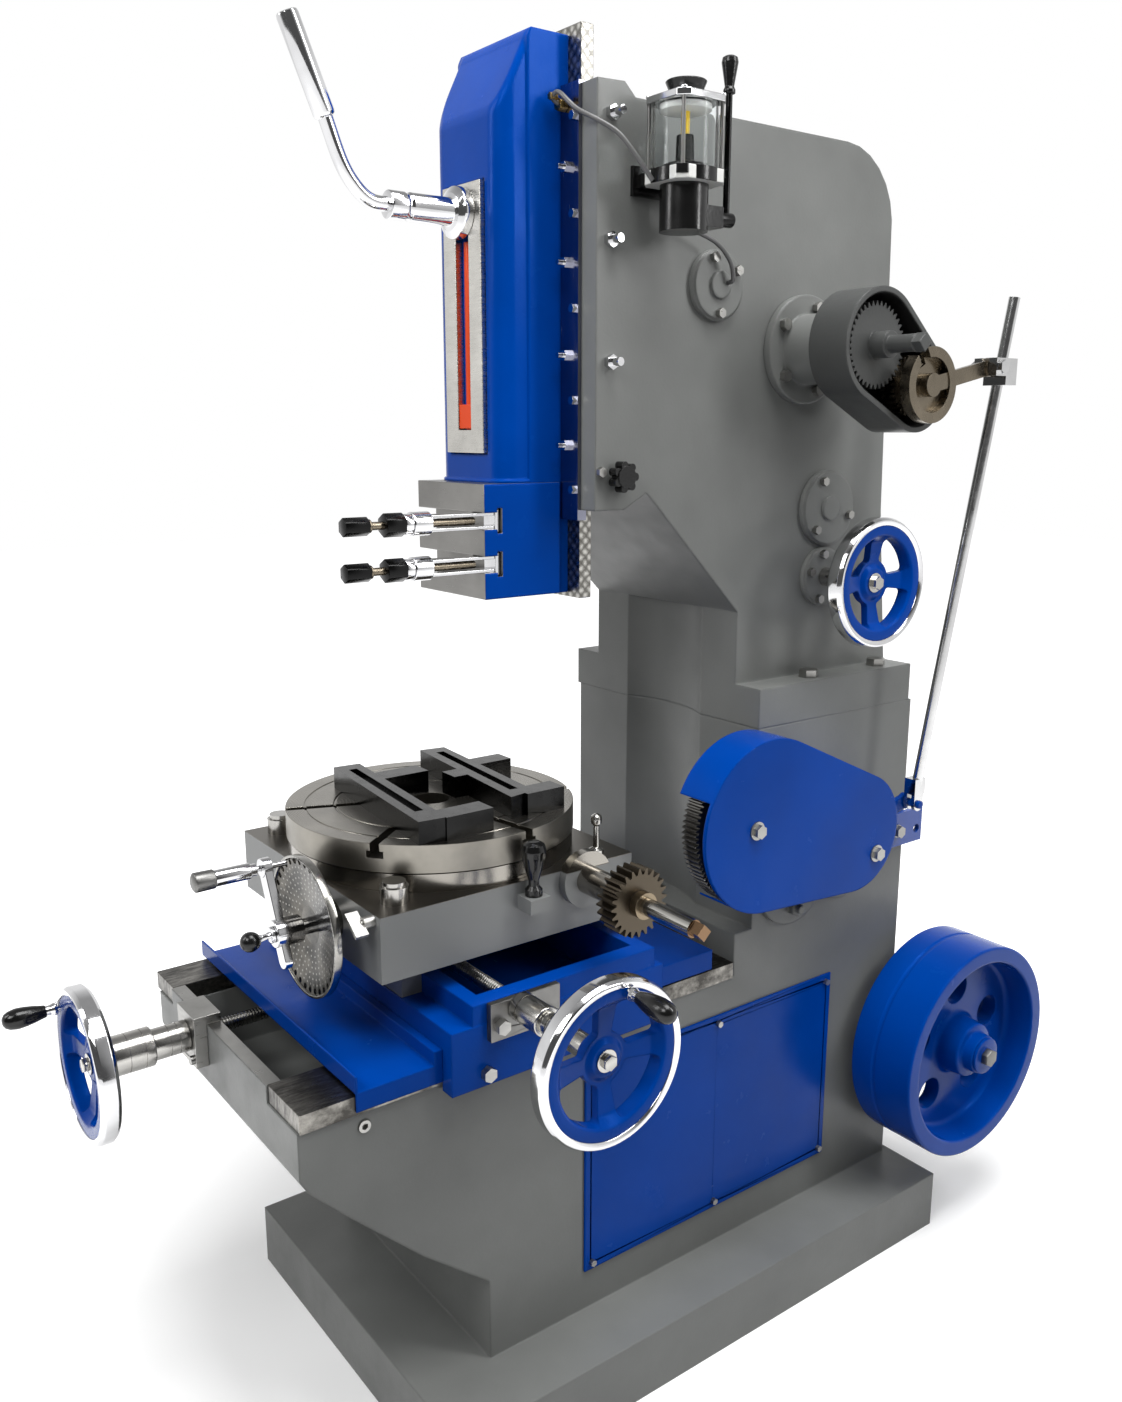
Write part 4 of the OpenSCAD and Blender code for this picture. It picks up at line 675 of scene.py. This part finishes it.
# rings of small marks; a circle is (radius, count, half width, half height of a mark)
def markedPlate(name, centre, circles, plain, marked, roughness):
    mat, tree, shader = newMaterial(name, (0.05, 0.048, 0.045), 1.0, roughness)
    calc = partial(maths, tree)
    across, _, up = splitVector(tree, objectCoords(tree))
    x, z = calc("SUBTRACT", across, centre[0]), calc("SUBTRACT", up, centre[2])
    radius = calc("SQRT", calc("ADD", calc("MULTIPLY", x, x), calc("MULTIPLY", z, z)))
    angle = calc("ARCTAN2", z, x)
    total = 0.0
    for ring, count, low, high in circles:
        part = calc("FRACT", calc("MULTIPLY", angle, count / math.tau))
        side = calc("MULTIPLY", calc("ABSOLUTE", calc("SUBTRACT", part, 0.5)), math.tau * ring / count)
        rise = calc("ABSOLUTE", calc("SUBTRACT", radius, ring))
        mark = calc("MULTIPLY", calc("LESS_THAN", side, low), calc("LESS_THAN", rise, high))
        total = calc("MAXIMUM", total, mark)
    patches = noiseOn(tree, objectCoords(tree), 22, 5, 0.65)
    shine = rampBetween(tree, patches, [(0.40, plain[0]), (0.68, plain[1])])
    mix = addNode(tree, "ShaderNodeMix", data_type="RGBA")
    setInputs(tree, mix, {"Factor": total, "A": shine, "B": (*marked, 1)})
    setInputs(tree, shader, {"Base Color": mix.outputs["Result"]})
    return mat


indexFace = markedPlate("indexFace", indexShape["centre"],
                        [(*circle, 0.0013, 0.0013) for circle in indexMarks["circles"]],
                        ((0.018, 0.017, 0.015), (0.10, 0.092, 0.078)), (0.22, 0.215, 0.20), 0.20)
indexRim = markedPlate("indexRim", indexShape["centre"], [(*indexMarks["ticks"], 0.0004, 0.0014)],
                       ((0.22, 0.215, 0.20), (0.40, 0.39, 0.37)), (0.01, 0.01, 0.01), 0.18)


# a dished plate with a bright graduated rim, and its ring of plunger holes
def indexPlate(centre, front, back, radius, bore, holeRing, holeTurn, holes, holeRadius):
    r, c = radius, centre
    profile = [(bore, front + 0.013), (0.028, front + 0.013, 0.002), (r - 0.0048, front + 0.0035, 0.001),
               (r - 0.0038, front, 0.0006), (r, front, 0.0008), (r, front + 0.012, 0.0015),
               (r - 0.010, front + 0.013, 0.002), (0.034, front + 0.020, 0.004),
               (0.028, back + 0.0003), (bore, back + 0.0003)]
    bm = bmesh.new()
    faces = lathe(bm, profile, c, "Y", 128, closed=True)
    for face in faces:
        middle = face.calc_center_median()
        reach = math.hypot(middle.x - c[0], middle.z - c[2])
        face.material_index = 1 if reach < r - 0.0046 and middle.y < front + 0.0135 else 0
    disc = toObject(bm, "index_disc", [indexRim, indexFace], smooth=30)
    cutter = bmesh.new()
    for k in range(holes):
        x, z = onCircle((c[0], c[2]), holeRing, math.radians(holeTurn) + math.tau * k / holes)
        rod(cutter, (x, 0, z), "Y", holeRadius, front - 0.006, front + 0.024, steps=16)
    carve(disc, toObject(cutter, "index_holes", [indexRim, indexFace]))
    place(disc, "table", ["index_plate"])


indexPlate(**indexShape)

crankShape = {"hub": Vector((0.050, 0, 0.806)), "pin": Vector((0.010, 0, 0.892)), "y": (-0.646, -0.634),
              "tail": 0.42, "half": 0.0115}
lockShape = {"knob": Vector((0.064, -0.690, 0.810)), "size": 0.0142}


def crankArm(hub, pin, y, tail, half):
    ahead = (pin - hub).normalized()
    side = Vector((-ahead.z, 0, ahead.x))
    outline = []
    for centre, first in ((pin, 0), (hub - (pin - hub) * tail, 1)):
        for k in range(9):
            angle = math.pi * (k / 8 + first)
            spot = centre + (side * math.cos(angle) + ahead * math.sin(angle)) * half
            outline.append((spot.x, spot.z))
    bm = bmesh.new()
    extruded(bm, outline, "Y", *y)
    rod(bm, hub, "Y", 0.0118, -0.6195, -0.5025)
    sleeve(bm, hub, "Y", 0.0052, 0.020, -0.650, -0.6095, 0.0015)
    sleeve(bm, pin, "Y", 0.0042, 0.014, -0.647, -0.633, 0.001, 40)
    place(toObject(bm, "crank_arm", [polished]), "crank", ["index_crank"], eased=0.001)


def plungerGrip(pin):
    stem = [(0, -0.6075), (0.0039, -0.6075), (0.0039, -0.6530), (0.0088, -0.6545, 0.0008),
            (0.0088, -0.664, 0.001), (0.0118, -0.664, 0.001), (0.0118, -0.716, 0.0015), (0, -0.716)]
    cap = [(0, -0.7155), (0.0137, -0.7155, 0.0015), (0.0142, -0.7435, 0.002), (0.010, -0.746), (0, -0.746)]
    handle = bmesh.new()
    lathe(handle, stem, pin, "Y", 48)
    lathe(handle, cap, pin, "Y", 48, slot=1)
    place(toObject(handle, "plunger_grip", [polished, darkSteel]), "plunger", ["index_handle"])


# the lock screw, with a short stem that leans out to an egg-shaped knob
def crankKnob(hub, knob, size):
    collar = [(0, -0.656), (0.009, -0.656), (0.012, -0.655, 0.001), (0.012, -0.6505, 0.001), (0, -0.6505)]
    lever = bmesh.new()
    lathe(lever, collar, hub, "Y", 40)
    rod(lever, hub, "Y", 0.0048, -0.656, -0.627)
    start = Vector((hub.x, -0.654, hub.z))
    reach = (knob - start).normalized()
    tube(lever, [start, start + reach * 0.012, start + reach * 0.026], [0.0055, 0.0045, 0.0065])
    egg = [(-1.0, 0.46), (-0.93, 0.56), (-0.75, 0.74), (-0.5, 0.88), (-0.2, 0.98), (0.1, 1.0), (0.4, 0.92),
           (0.7, 0.70), (0.9, 0.42), (0.985, 0.16)]
    tube(lever, [knob + reach * size * a for a, _ in egg], [size * b for _, b in egg], 32, slot=1)
    place(toObject(lever, "crank_knob", [polished, blackPlastic], smooth=50), "crank_lock", ["index_knob"])


crankArm(**crankShape)
plungerGrip(crankShape["pin"])
crankKnob(crankShape["hub"], **lockShape)
print("index plate and crank made")

ramShape = {"front": -0.279, "back": -0.160, "low": 1.4225, "top": 2.041, "slopeFoot": 1.932,
            "slopeBack": -0.225, "panelHalf": 0.0868, "flankHalf": 0.0900, "flankFront": -0.2315,
            "flankDrop": 0.0015, "headHalf": 0.0935, "headFront": -0.314, "headLow": 1.257,
            "slots": (1.308, 1.371), "bead": 0.0036}


# one upright block of the ram, with its sloped top and the pocket of the face plate
def ramBlock(half, front, corner, ease, shape):
    back, foot = shape["back"], shape["slopeFoot"]
    bm = bmesh.new()
    extruded(bm, [(half, back), (half, front, corner), (-half, front, corner), (-half, back)], "Z",
             shape["low"], shape["top"], segments=10)
    slope = Vector((0, shape["front"] - shape["slopeBack"], shape["top"] - foot))
    normal = Vector((0, -slope.z, -slope.y)).normalized()
    geometry = list(bm.verts) + list(bm.edges) + list(bm.faces)
    cut = bmesh.ops.bisect_plane(bm, geom=geometry, dist=0.000001, plane_co=(0, shape["front"], foot),
                                 plane_no=normal, clear_outer=True)["geom_cut"]
    bmesh.ops.edgenet_fill(bm, edges=[item for item in cut if isinstance(item, bmesh.types.BMEdge)])
    bmesh.ops.recalc_face_normals(bm, faces=bm.faces)
    upper = [edge for edge in bm.edges if min(v.co.z for v in edge.verts) > foot - 0.03
             and len(edge.link_faces) == 2 and edge.calc_face_angle() > math.radians(22)]
    bmesh.ops.bevel(bm, geom=upper, offset=ease, segments=4, profile=0.5, affect="EDGES", material=-1,
                    clamp_overlap=True)
    cutter = bmesh.new()
    slab(cutter, "Z", (-0.051, 0.051), (-0.30, -0.274), (1.465, 1.845))
    slab(cutter, "Z", (-0.030, 0.030), (-0.29, -0.215), (1.480, 1.830))
    solid = toObject(bm, "ramBlock", [bluePaint])
    carve(solid, toObject(cutter, "ramCutter", [bluePaint]))
    made = bmesh.new()
    made.from_mesh(solid.data)
    bpy.data.objects.remove(solid)
    return made


# the tool head is bare steel in front and painted at its sides and back
def toolHead(shape):
    front, low, half = shape["headFront"], shape["headLow"], shape["headHalf"]
    profile = [(-0.178, low), (front, low)]
    for z in shape["slots"]:
        profile += [(front, z - 0.012), (-0.291, z - 0.012), (-0.291, z - 0.018), (-0.283, z - 0.018),
                    (-0.283, z + 0.018), (-0.291, z + 0.018), (-0.291, z + 0.012), (front, z + 0.012)]
    profile += [(front, 1.424), (-0.178, 1.424)]
    head = bmesh.new()
    faces = extruded(head, profile, "X", -half, half)
    head.normal_update()
    for face in faces:
        face.material_index = 0 if abs(face.normal.x) > 0.9 or face.calc_center_median().y > -0.2 else 1
    slab(head, "Z", (-0.090, 0.090), (-0.180, -0.160), (low, 1.4235))
    place(toObject(head, "tool_head", [bluePaint, headSteel]), "ram", eased=0.0012)


def ramCasting(shape):
    body = bmesh.new()
    # the flanks end a little lower, so that no two tops lie in one plane
    flank = {**shape, "top": shape["top"] - shape["flankDrop"],
             "slopeFoot": shape["slopeFoot"] - shape["flankDrop"]}
    for block in (ramBlock(shape["panelHalf"], shape["front"], 0.028, 0.009, shape),
                  ramBlock(shape["flankHalf"], shape["flankFront"], 0.003, 0.002, flank)):
        mesh = bpy.data.meshes.new("ramHalf")
        block.to_mesh(mesh)
        block.free()
        body.from_mesh(mesh)
    half = shape["panelHalf"]
    bead = rounded([(-half, -0.2312), (-half, -0.2790, 0.028), (half, -0.2790, 0.028), (half, -0.2312)], 8)
    tube(body, [Vector((a, b, 1.4262)) for a, b in bead], shape["bead"], 10)
    place(toObject(body, "ram_casting", [bluePaint]), "ram", ["ram_body"], eased=0.001)


toolHead(ramShape)
ramCasting(ramShape)
print("ram made")

# bend and grip are lists of (y, height above the shaft) along the lever
leverShape = {"z": 1.804, "boss": -0.286, "stem": 0.0103,
              "bend": ((-0.402, 0), (-0.430, 0.002), (-0.452, 0.016), (-0.474, 0.046), (-0.497, 0.105)),
              "grip": ((-0.4945, 0.0985), (-0.4955, 0.101), (-0.497, 0.1045), (-0.5425, 0.2135),
                       (-0.544, 0.217), (-0.5445, 0.2182)),
              "gripRadii": [0.0105, 0.0140, 0.0150, 0.0150, 0.0140, 0.0120]}


def clampLever(z, boss, stem, bend, grip, gripRadii):
    bm = bmesh.new()
    lathe(bm, [(0, boss + 0.021), (0.0236, boss + 0.021), (0.0236, boss + 0.0123), (0.012, boss + 0.0123),
               (0.012, boss - 0.0003), (0.036, boss - 0.0003, 0.001), (0.036, boss - 0.014, 0.003),
               (0.026, boss - 0.020, 0.003), (0.0195, boss - 0.022, 0.001), (0.0195, -0.372, 0.001),
               (0.018, -0.374), (0.018, -0.380), (0.0195, -0.382, 0.001), (0.0195, -0.406, 0.002),
               (0.0105, -0.408, 0.001), (0, -0.408)], (0, 0, z), "Y", 64)
    tube(bm, smoothPath([(0, y, z + rise) for y, rise in bend], 8), stem, 28)
    tube(bm, [Vector((0, y, z + rise)) for y, rise in grip], gripRadii, 32)
    place(toObject(bm, "stroke_lever", [polished], smooth=40), "ram_clamp", ["clamp_lever"])


clampLever(**leverShape)

clampShape = {"x": 0.072, "heights": (1.308, 1.371), "nut": 0.0172, "head": 0.0135}


# two long hexagon screws, each with its shackle in a slot of the tool head
def toolClamps(x, heights, nut, head):
    screws, straps = bmesh.new(), bmesh.new()
    for z in heights:
        c = (x, 0, z)
        shank = [(0, -0.497), (0.0058, -0.497), (0.0058, -0.319, 0.001), (0, -0.319)]
        lathe(screws, shank, c, "Y", 28, slot=1)
        hexagon(screws, c, "Y", nut, -0.4675, -0.4370)
        hexagon(screws, c, "Y", head, -0.5295, -0.4920)
        rod(screws, c, "Y", 0.0098, -0.4920, -0.4880, 0.001, 32, slot=1)
        rod(screws, c, "Y", 0.0150, -0.4375, -0.4252, 0.001, 40, slot=2)
        sleeve(straps, c, "Y", 0.0062, 0.0172, -0.4248, -0.3960, 0.0012)
        for s in (-1, 1):
            slab(straps, "Y", (x - 0.013, x + 0.013), (z + s * 0.0118, z + s * 0.0072), (-0.3965, -0.2915))
        slab(straps, "Y", (x - 0.015, x + 0.015), (z - 0.016, z + 0.016), (-0.2916, -0.2842))
    place(toObject(screws, "clamp_screws", [blackEnamel, bronzeSteel, polished]), "ram", ["tool_screws"])
    place(toObject(straps, "clamp_straps", [polished]), "ram", ["tool_shackles"], eased=0.0006)


toolClamps(**clampShape)
print("lever and tool clamps made")

pumpShape = {"centre": (0.233, -0.067), "low": 1.850, "high": 1.935, "half": 0.0444, "cut": 0.013,
             "reach": 0.0354, "tie": 0.0029, "nut": 0.0048, "capRise": 0.030, "grow": 1.012}


def pumpTop(centre, low, high, half, cut, reach, tie, nut, capRise, grow):
    x, y = centre
    c, inner = (x, y, 0), half - cut
    ring = [(half, inner), (inner, half), (-inner, half), (-half, inner),
            (-half, -inner), (-inner, -half), (inner, -half), (half, -inner)]
    outline = [(x + a, y + b) for a, b in ring]
    foot, crown = high + 0.009, high + 0.0125
    lid = bmesh.new()
    extruded(lid, [(a, b, 0.003) for a, b in outline], "Z", high + 0.0002, high + 0.0095)
    for sx in (-1, 1):
        for sy in (-1, 1):
            spot = (x + sx * reach, y + sy * reach, 0)
            rod(lid, spot, "Z", tie, low - 0.009, high + 0.001, steps=20, slot=1)
            lathe(lid, [(0, foot), (nut, foot), (nut, crown, 0.0008), (0, crown)], spot, "Z", 24, slot=2)
    place(toObject(lid, "pump_lid", [polished, darkSteel, polished]), "frame", ["pump_caps"], eased=0.001)
    cap = bmesh.new()
    top = high + capRise
    lathe(cap, [(0, top - 0.004), (0.0235, top - 0.004), (0.0245, top - 0.001), (0.0270, top, 0.001),
                (0.0288, top - 0.0015, 0.001), (0.0250, top - 0.010, 0.003), (0.0225, top - 0.0205, 0.001),
                (0, top - 0.0205)], c, "Z", 56)
    place(toObject(cap, "pump_cap", [blackPlastic], smooth=40), "frame")
    band = bmesh.new()
    extruded(band, [(x + a * grow, y + b * grow, 0.003) for a, b in ring], "Z", low - 0.0185, low - 0.0005)
    place(toObject(band, "pump_plate", [labelWhite]), "frame", eased=0.0008)
    # what shows through the glass: dark pump body, yellow tube, white disc
    inside = bmesh.new()
    lathe(inside, [(0, low + 0.001), (0.030, low + 0.001, 0.001), (0.030, low + 0.008, 0.002),
                   (0.013, low + 0.012, 0.002), (0.012, low + 0.046, 0.002), (0, low + 0.046)], c, "Z", 40)
    rod(inside, c, "Z", 0.006, low + 0.045, high - 0.003, steps=24, slot=1)
    lathe(inside, [(0, high - 0.009), (0.036, high - 0.009, 0.001), (0.036, high - 0.001), (0, high - 0.001)],
          c, "Z", 40, slot=2)
    place(toObject(inside, "pump_inside", [darkInside, yellowPlastic, labelWhite]), "frame")


pumpTop(**pumpShape)

knobShape = {"x": 0.250, "y": -0.002, "pivot": 1.790, "foot": 1.955, "top": 2.004}


def pumpHandle(x, y, pivot, foot, top):
    c = (x, y, 0)
    bm = bmesh.new()
    rod(bm, c, "Z", 0.0048, pivot, foot + 0.002, steps=28)
    lathe(bm, [(0, foot), (0.0085, foot, 0.001), (0.0085, foot + 0.005, 0.001), (0.0065, foot + 0.009, 0.002),
               (0.0118, foot + 0.040, 0.004), (0.0105, top - 0.003), (0.007, top - 0.0008), (0, top)],
          c, "Z", 40, slot=1)
    lathe(bm, [(0, -0.043), (0.0049, -0.043), (0.0049, -0.019), (0.010, -0.019, 0.001), (0.010, 0.008, 0.001),
               (0, 0.008)], (x, 0, pivot), "Y", 40)
    handle = toObject(bm, "pump_handle_turned", [blackEnamel, blackPlastic], smooth=45)
    place(handle, "pump_handle", ["pump_lever"])


pumpHandle(**knobShape)
print("pump made")

hoseShape = {"fitting": (0.103, -0.176, 1.943), "radius": 0.0034,
             "feed": ((0.103, -0.186, 1.943), (0.103, -0.198, 1.950), (0.116, -0.197, 1.955),
                      (0.146, -0.190, 1.930), (0.176, -0.176, 1.912), (0.198, -0.156, 1.893),
                      (0.215, -0.137, 1.862), (0.223, -0.1165, 1.834)),
             "drain": ((0.203, -0.060, 1.790), (0.198, -0.058, 1.790), (0.193, -0.030, 1.787),
                       (0.196, 0.030, 1.770), (0.197, 0.060, 1.746), (0.196, 0.069, 1.722),
                       (0.190, 0.069, 1.717), (0.177, 0.069, 1.717))}


def oilPipes(fitting, radius, feed, drain):
    bm = bmesh.new()
    for route in (feed, drain):
        tube(bm, smoothPath(route, 6), radius, 14)
    rod(bm, fitting, "Y", 0.0048, -0.186, -0.1655, steps=24, slot=1)
    hexagon(bm, fitting, "Y", 0.0090, -0.1895, -0.1763, slot=1)
    hexagon(bm, (fitting[0], 0, fitting[2] + 0.009), "Y", 0.0055, -0.2035, -0.1915, slot=1)
    place(toObject(bm, "oil_hose", [hoseGrey, oldBrass], smooth=40), "frame", ["oil_pipes"])


oilPipes(**hoseShape)

# a lobe of the feed case is (y, z, radius)
shadeSheetShape = {"upper": (0.252, 1.626, 0.0764), "lower": (0.340, 1.568, 0.0634), "x": (0.2704, 0.3346),
               "wall": 0.0005, "floor": 0.0006}


# two arcs joined by the straight lines that touch both
def lobeOutline(upper, lower, less=0.0, steps=28):
    one, two = Vector(upper[:2]), Vector(lower[:2])
    ahead = math.atan2(two.y - one.y, two.x - one.x)
    spread = math.acos((upper[2] - lower[2]) / (two - one).length)
    result = []
    for centre, radius, first, last in ((one, upper[2] - less, ahead + spread, ahead - spread + math.tau),
                                        (two, lower[2] - less, ahead - spread, ahead + spread)):
        for k in range(steps + 1):
            result.append(onCircle(centre, radius, first + (last - first) * k / steps))
    return result


# a thin near-black sheet inside the feed case: painted shade that darkens the hollow of the case
def caseShadeSheet(upper, lower, x, wall, floor):
    low, high = x
    bm = bmesh.new()
    extruded(bm, lobeOutline(upper, lower), "X", low, low + floor)
    rings = [[bm.verts.new((spot, y, z)) for y, z in lobeOutline(upper, lower, less)]
             for spot, less in ((low, 0), (high, 0), (high, wall), (low, wall))]
    for one, two in zip(rings, rings[1:] + rings[:1]):
        for k in range(len(one)):
            after = (k + 1) % len(one)
            bm.faces.new((one[k], one[after], two[after], two[k]))
    place(toObject(bm, "case_shade_sheet", [darkInside]), "frame")


caseShadeSheet(**shadeSheetShape)

stripShape = {"x": (-0.2395, 0.1285), "y": (-0.7045, -0.6835), "z": (0.6262, 0.6276), "corner": 0.001}


# the bare machined strip on top of the bed's front wall
def wallStrip(x, y, z, corner):
    bm = bmesh.new()
    slab(bm, "Z", x, y, z, corner)
    place(toObject(bm, "wall_strip", [millSteel]), "frame")


wallStrip(**stripShape)
print("hose, shade_sheet and strip made")

# the floor's own glow is weak near the machine and full from far outwards
floorShape = {"size": 30, "bounce": 0.34, "near": 0.70, "far": 1.6, "glow": 0.22}
worldShape = {"plain": 0.26, "dimSide": (0.775, -0.632, 0)}
white = (1, 1, 1, 1)


def seenRays(tree, path):
    glossy = maths(tree, "MAXIMUM", path.outputs["Is Camera Ray"], path.outputs["Is Glossy Ray"])
    return maths(tree, "MAXIMUM", glossy, path.outputs["Is Transmission Ray"])


# rays that are seen take the second shader, the rest the first
def pickShader(tree, path, first, second):
    inputs = {0: seenRays(tree, path), 1: first, 2: second}
    return addNode(tree, "ShaderNodeMixShader", inputs).outputs["Shader"]


def makeFloor(size, bounce, near, far, glow):
    bpy.ops.mesh.primitive_plane_add(size=size, location=(0, 0, 0))
    floor = bpy.context.object
    floor.name = "floor"
    mat, tree, shader = newMaterial("floorWhite", (0.80, 0.80, 0.80), 0.0, 0.8)
    setInputs(tree, shader, {"Specular IOR Level": 0.0})
    diffuse = addNode(tree, "ShaderNodeBsdfDiffuse", {"Color": (bounce, bounce, bounce, 1)})
    reach = addNode(tree, "ShaderNodeVectorMath", {0: objectCoords(tree)}, operation="LENGTH")
    strength = mapRange(tree, reach.outputs["Value"], near, far, glow, 1.0)
    emission = addNode(tree, "ShaderNodeEmission", {"Color": white, "Strength": strength})
    lit = addNode(tree, "ShaderNodeAddShader", {0: shader.outputs["BSDF"], 1: emission.outputs["Emission"]})
    path = addNode(tree, "ShaderNodeLightPath")
    picked = pickShader(tree, path, diffuse.outputs["BSDF"], lit.outputs["Shader"])
    setInputs(tree, tree.nodes["Material Output"], {"Surface": picked})
    floor.data.materials.append(mat)


# white to the camera; reflections see it darker overhead and on the dim side
def makeWorld(plain, dimSide):
    world = bpy.context.scene.world or bpy.data.worlds.new("world")
    bpy.context.scene.world = world
    world.use_nodes = True
    tree = world.node_tree
    tree.nodes.clear()
    path = addNode(tree, "ShaderNodeLightPath")
    looking = addNode(tree, "ShaderNodeNewGeometry").outputs["Incoming"]
    facing = addNode(tree, "ShaderNodeVectorMath", {0: looking, 1: dimSide}, operation="DOT_PRODUCT")
    upper = mapRange(tree, splitVector(tree, looking)[2], -0.75, -0.35, 0.4, 1.0)
    room = mapRange(tree, facing.outputs["Value"], -0.62, -0.30, 0.10, 1.0)
    reflected = maths(tree, "MULTIPLY", upper, room)
    strength = maths(tree, "MAXIMUM", reflected, path.outputs["Is Camera Ray"])
    unseen = addNode(tree, "ShaderNodeBackground", {"Color": white, "Strength": plain})
    seen = addNode(tree, "ShaderNodeBackground", {"Color": white, "Strength": strength})
    picked = pickShader(tree, path, unseen.outputs["Background"], seen.outputs["Background"])
    addNode(tree, "ShaderNodeOutputWorld", {"Surface": picked})


lamps = {
    "keyLight": {"stand": (1.0, -2.7, 3.4), "target": (0, -0.1, 1.5), "size": (1.4, 1.4), "power": 62},
    "leftLight": {"stand": (-1.2, -3.0, 3.0), "target": (0, -0.2, 1.5), "size": (0.8, 1.8), "power": 36},
    "topLight": {"stand": (1.0, 0.1, 4.4), "target": (0, 0, 0.8), "size": (2.0, 2.0), "power": 140},
    "sideLight": {"stand": (2.5, 1.5, 3.1), "target": (0.2, 0.1, 1.6), "size": (0.6, 2.2), "power": 56},
}


def areaLight(name, stand, target, size, power):
    data = bpy.data.lights.new(name, "AREA")
    data.shape = "RECTANGLE"
    data.size, data.size_y = size
    data.energy = power
    lamp = bpy.data.objects.new(name, data)
    bpy.context.scene.collection.objects.link(lamp)
    lamp.location = stand
    aim = Vector(target) - Vector(stand)
    lamp.rotation_euler = aim.to_track_quat("-Z", "Y").to_euler()


# heading and tilt in degrees, lens in millimetres
cameraShape = {"stand": (1.57932, -1.28585, 1.500), "tilt": 77.47, "heading": 53.25, "lens": 31.31}


def makeCamera(stand, tilt, heading, lens):
    data = bpy.data.cameras.new("camera")
    data.lens = lens
    data.sensor_width = 36
    data.sensor_fit = "AUTO"
    camera = bpy.data.objects.new("camera", data)
    bpy.context.scene.collection.objects.link(camera)
    camera.location = stand
    camera.rotation_euler = (math.radians(tilt), 0, math.radians(heading))
    bpy.context.scene.camera = camera


makeFloor(**floorShape)
makeWorld(**worldShape)
for name, spec in lamps.items():
    areaLight(name, **spec)
makeCamera(**cameraShape)
bpy.context.scene.view_settings.view_transform = "Standard"
print("stage, lights and camera made")
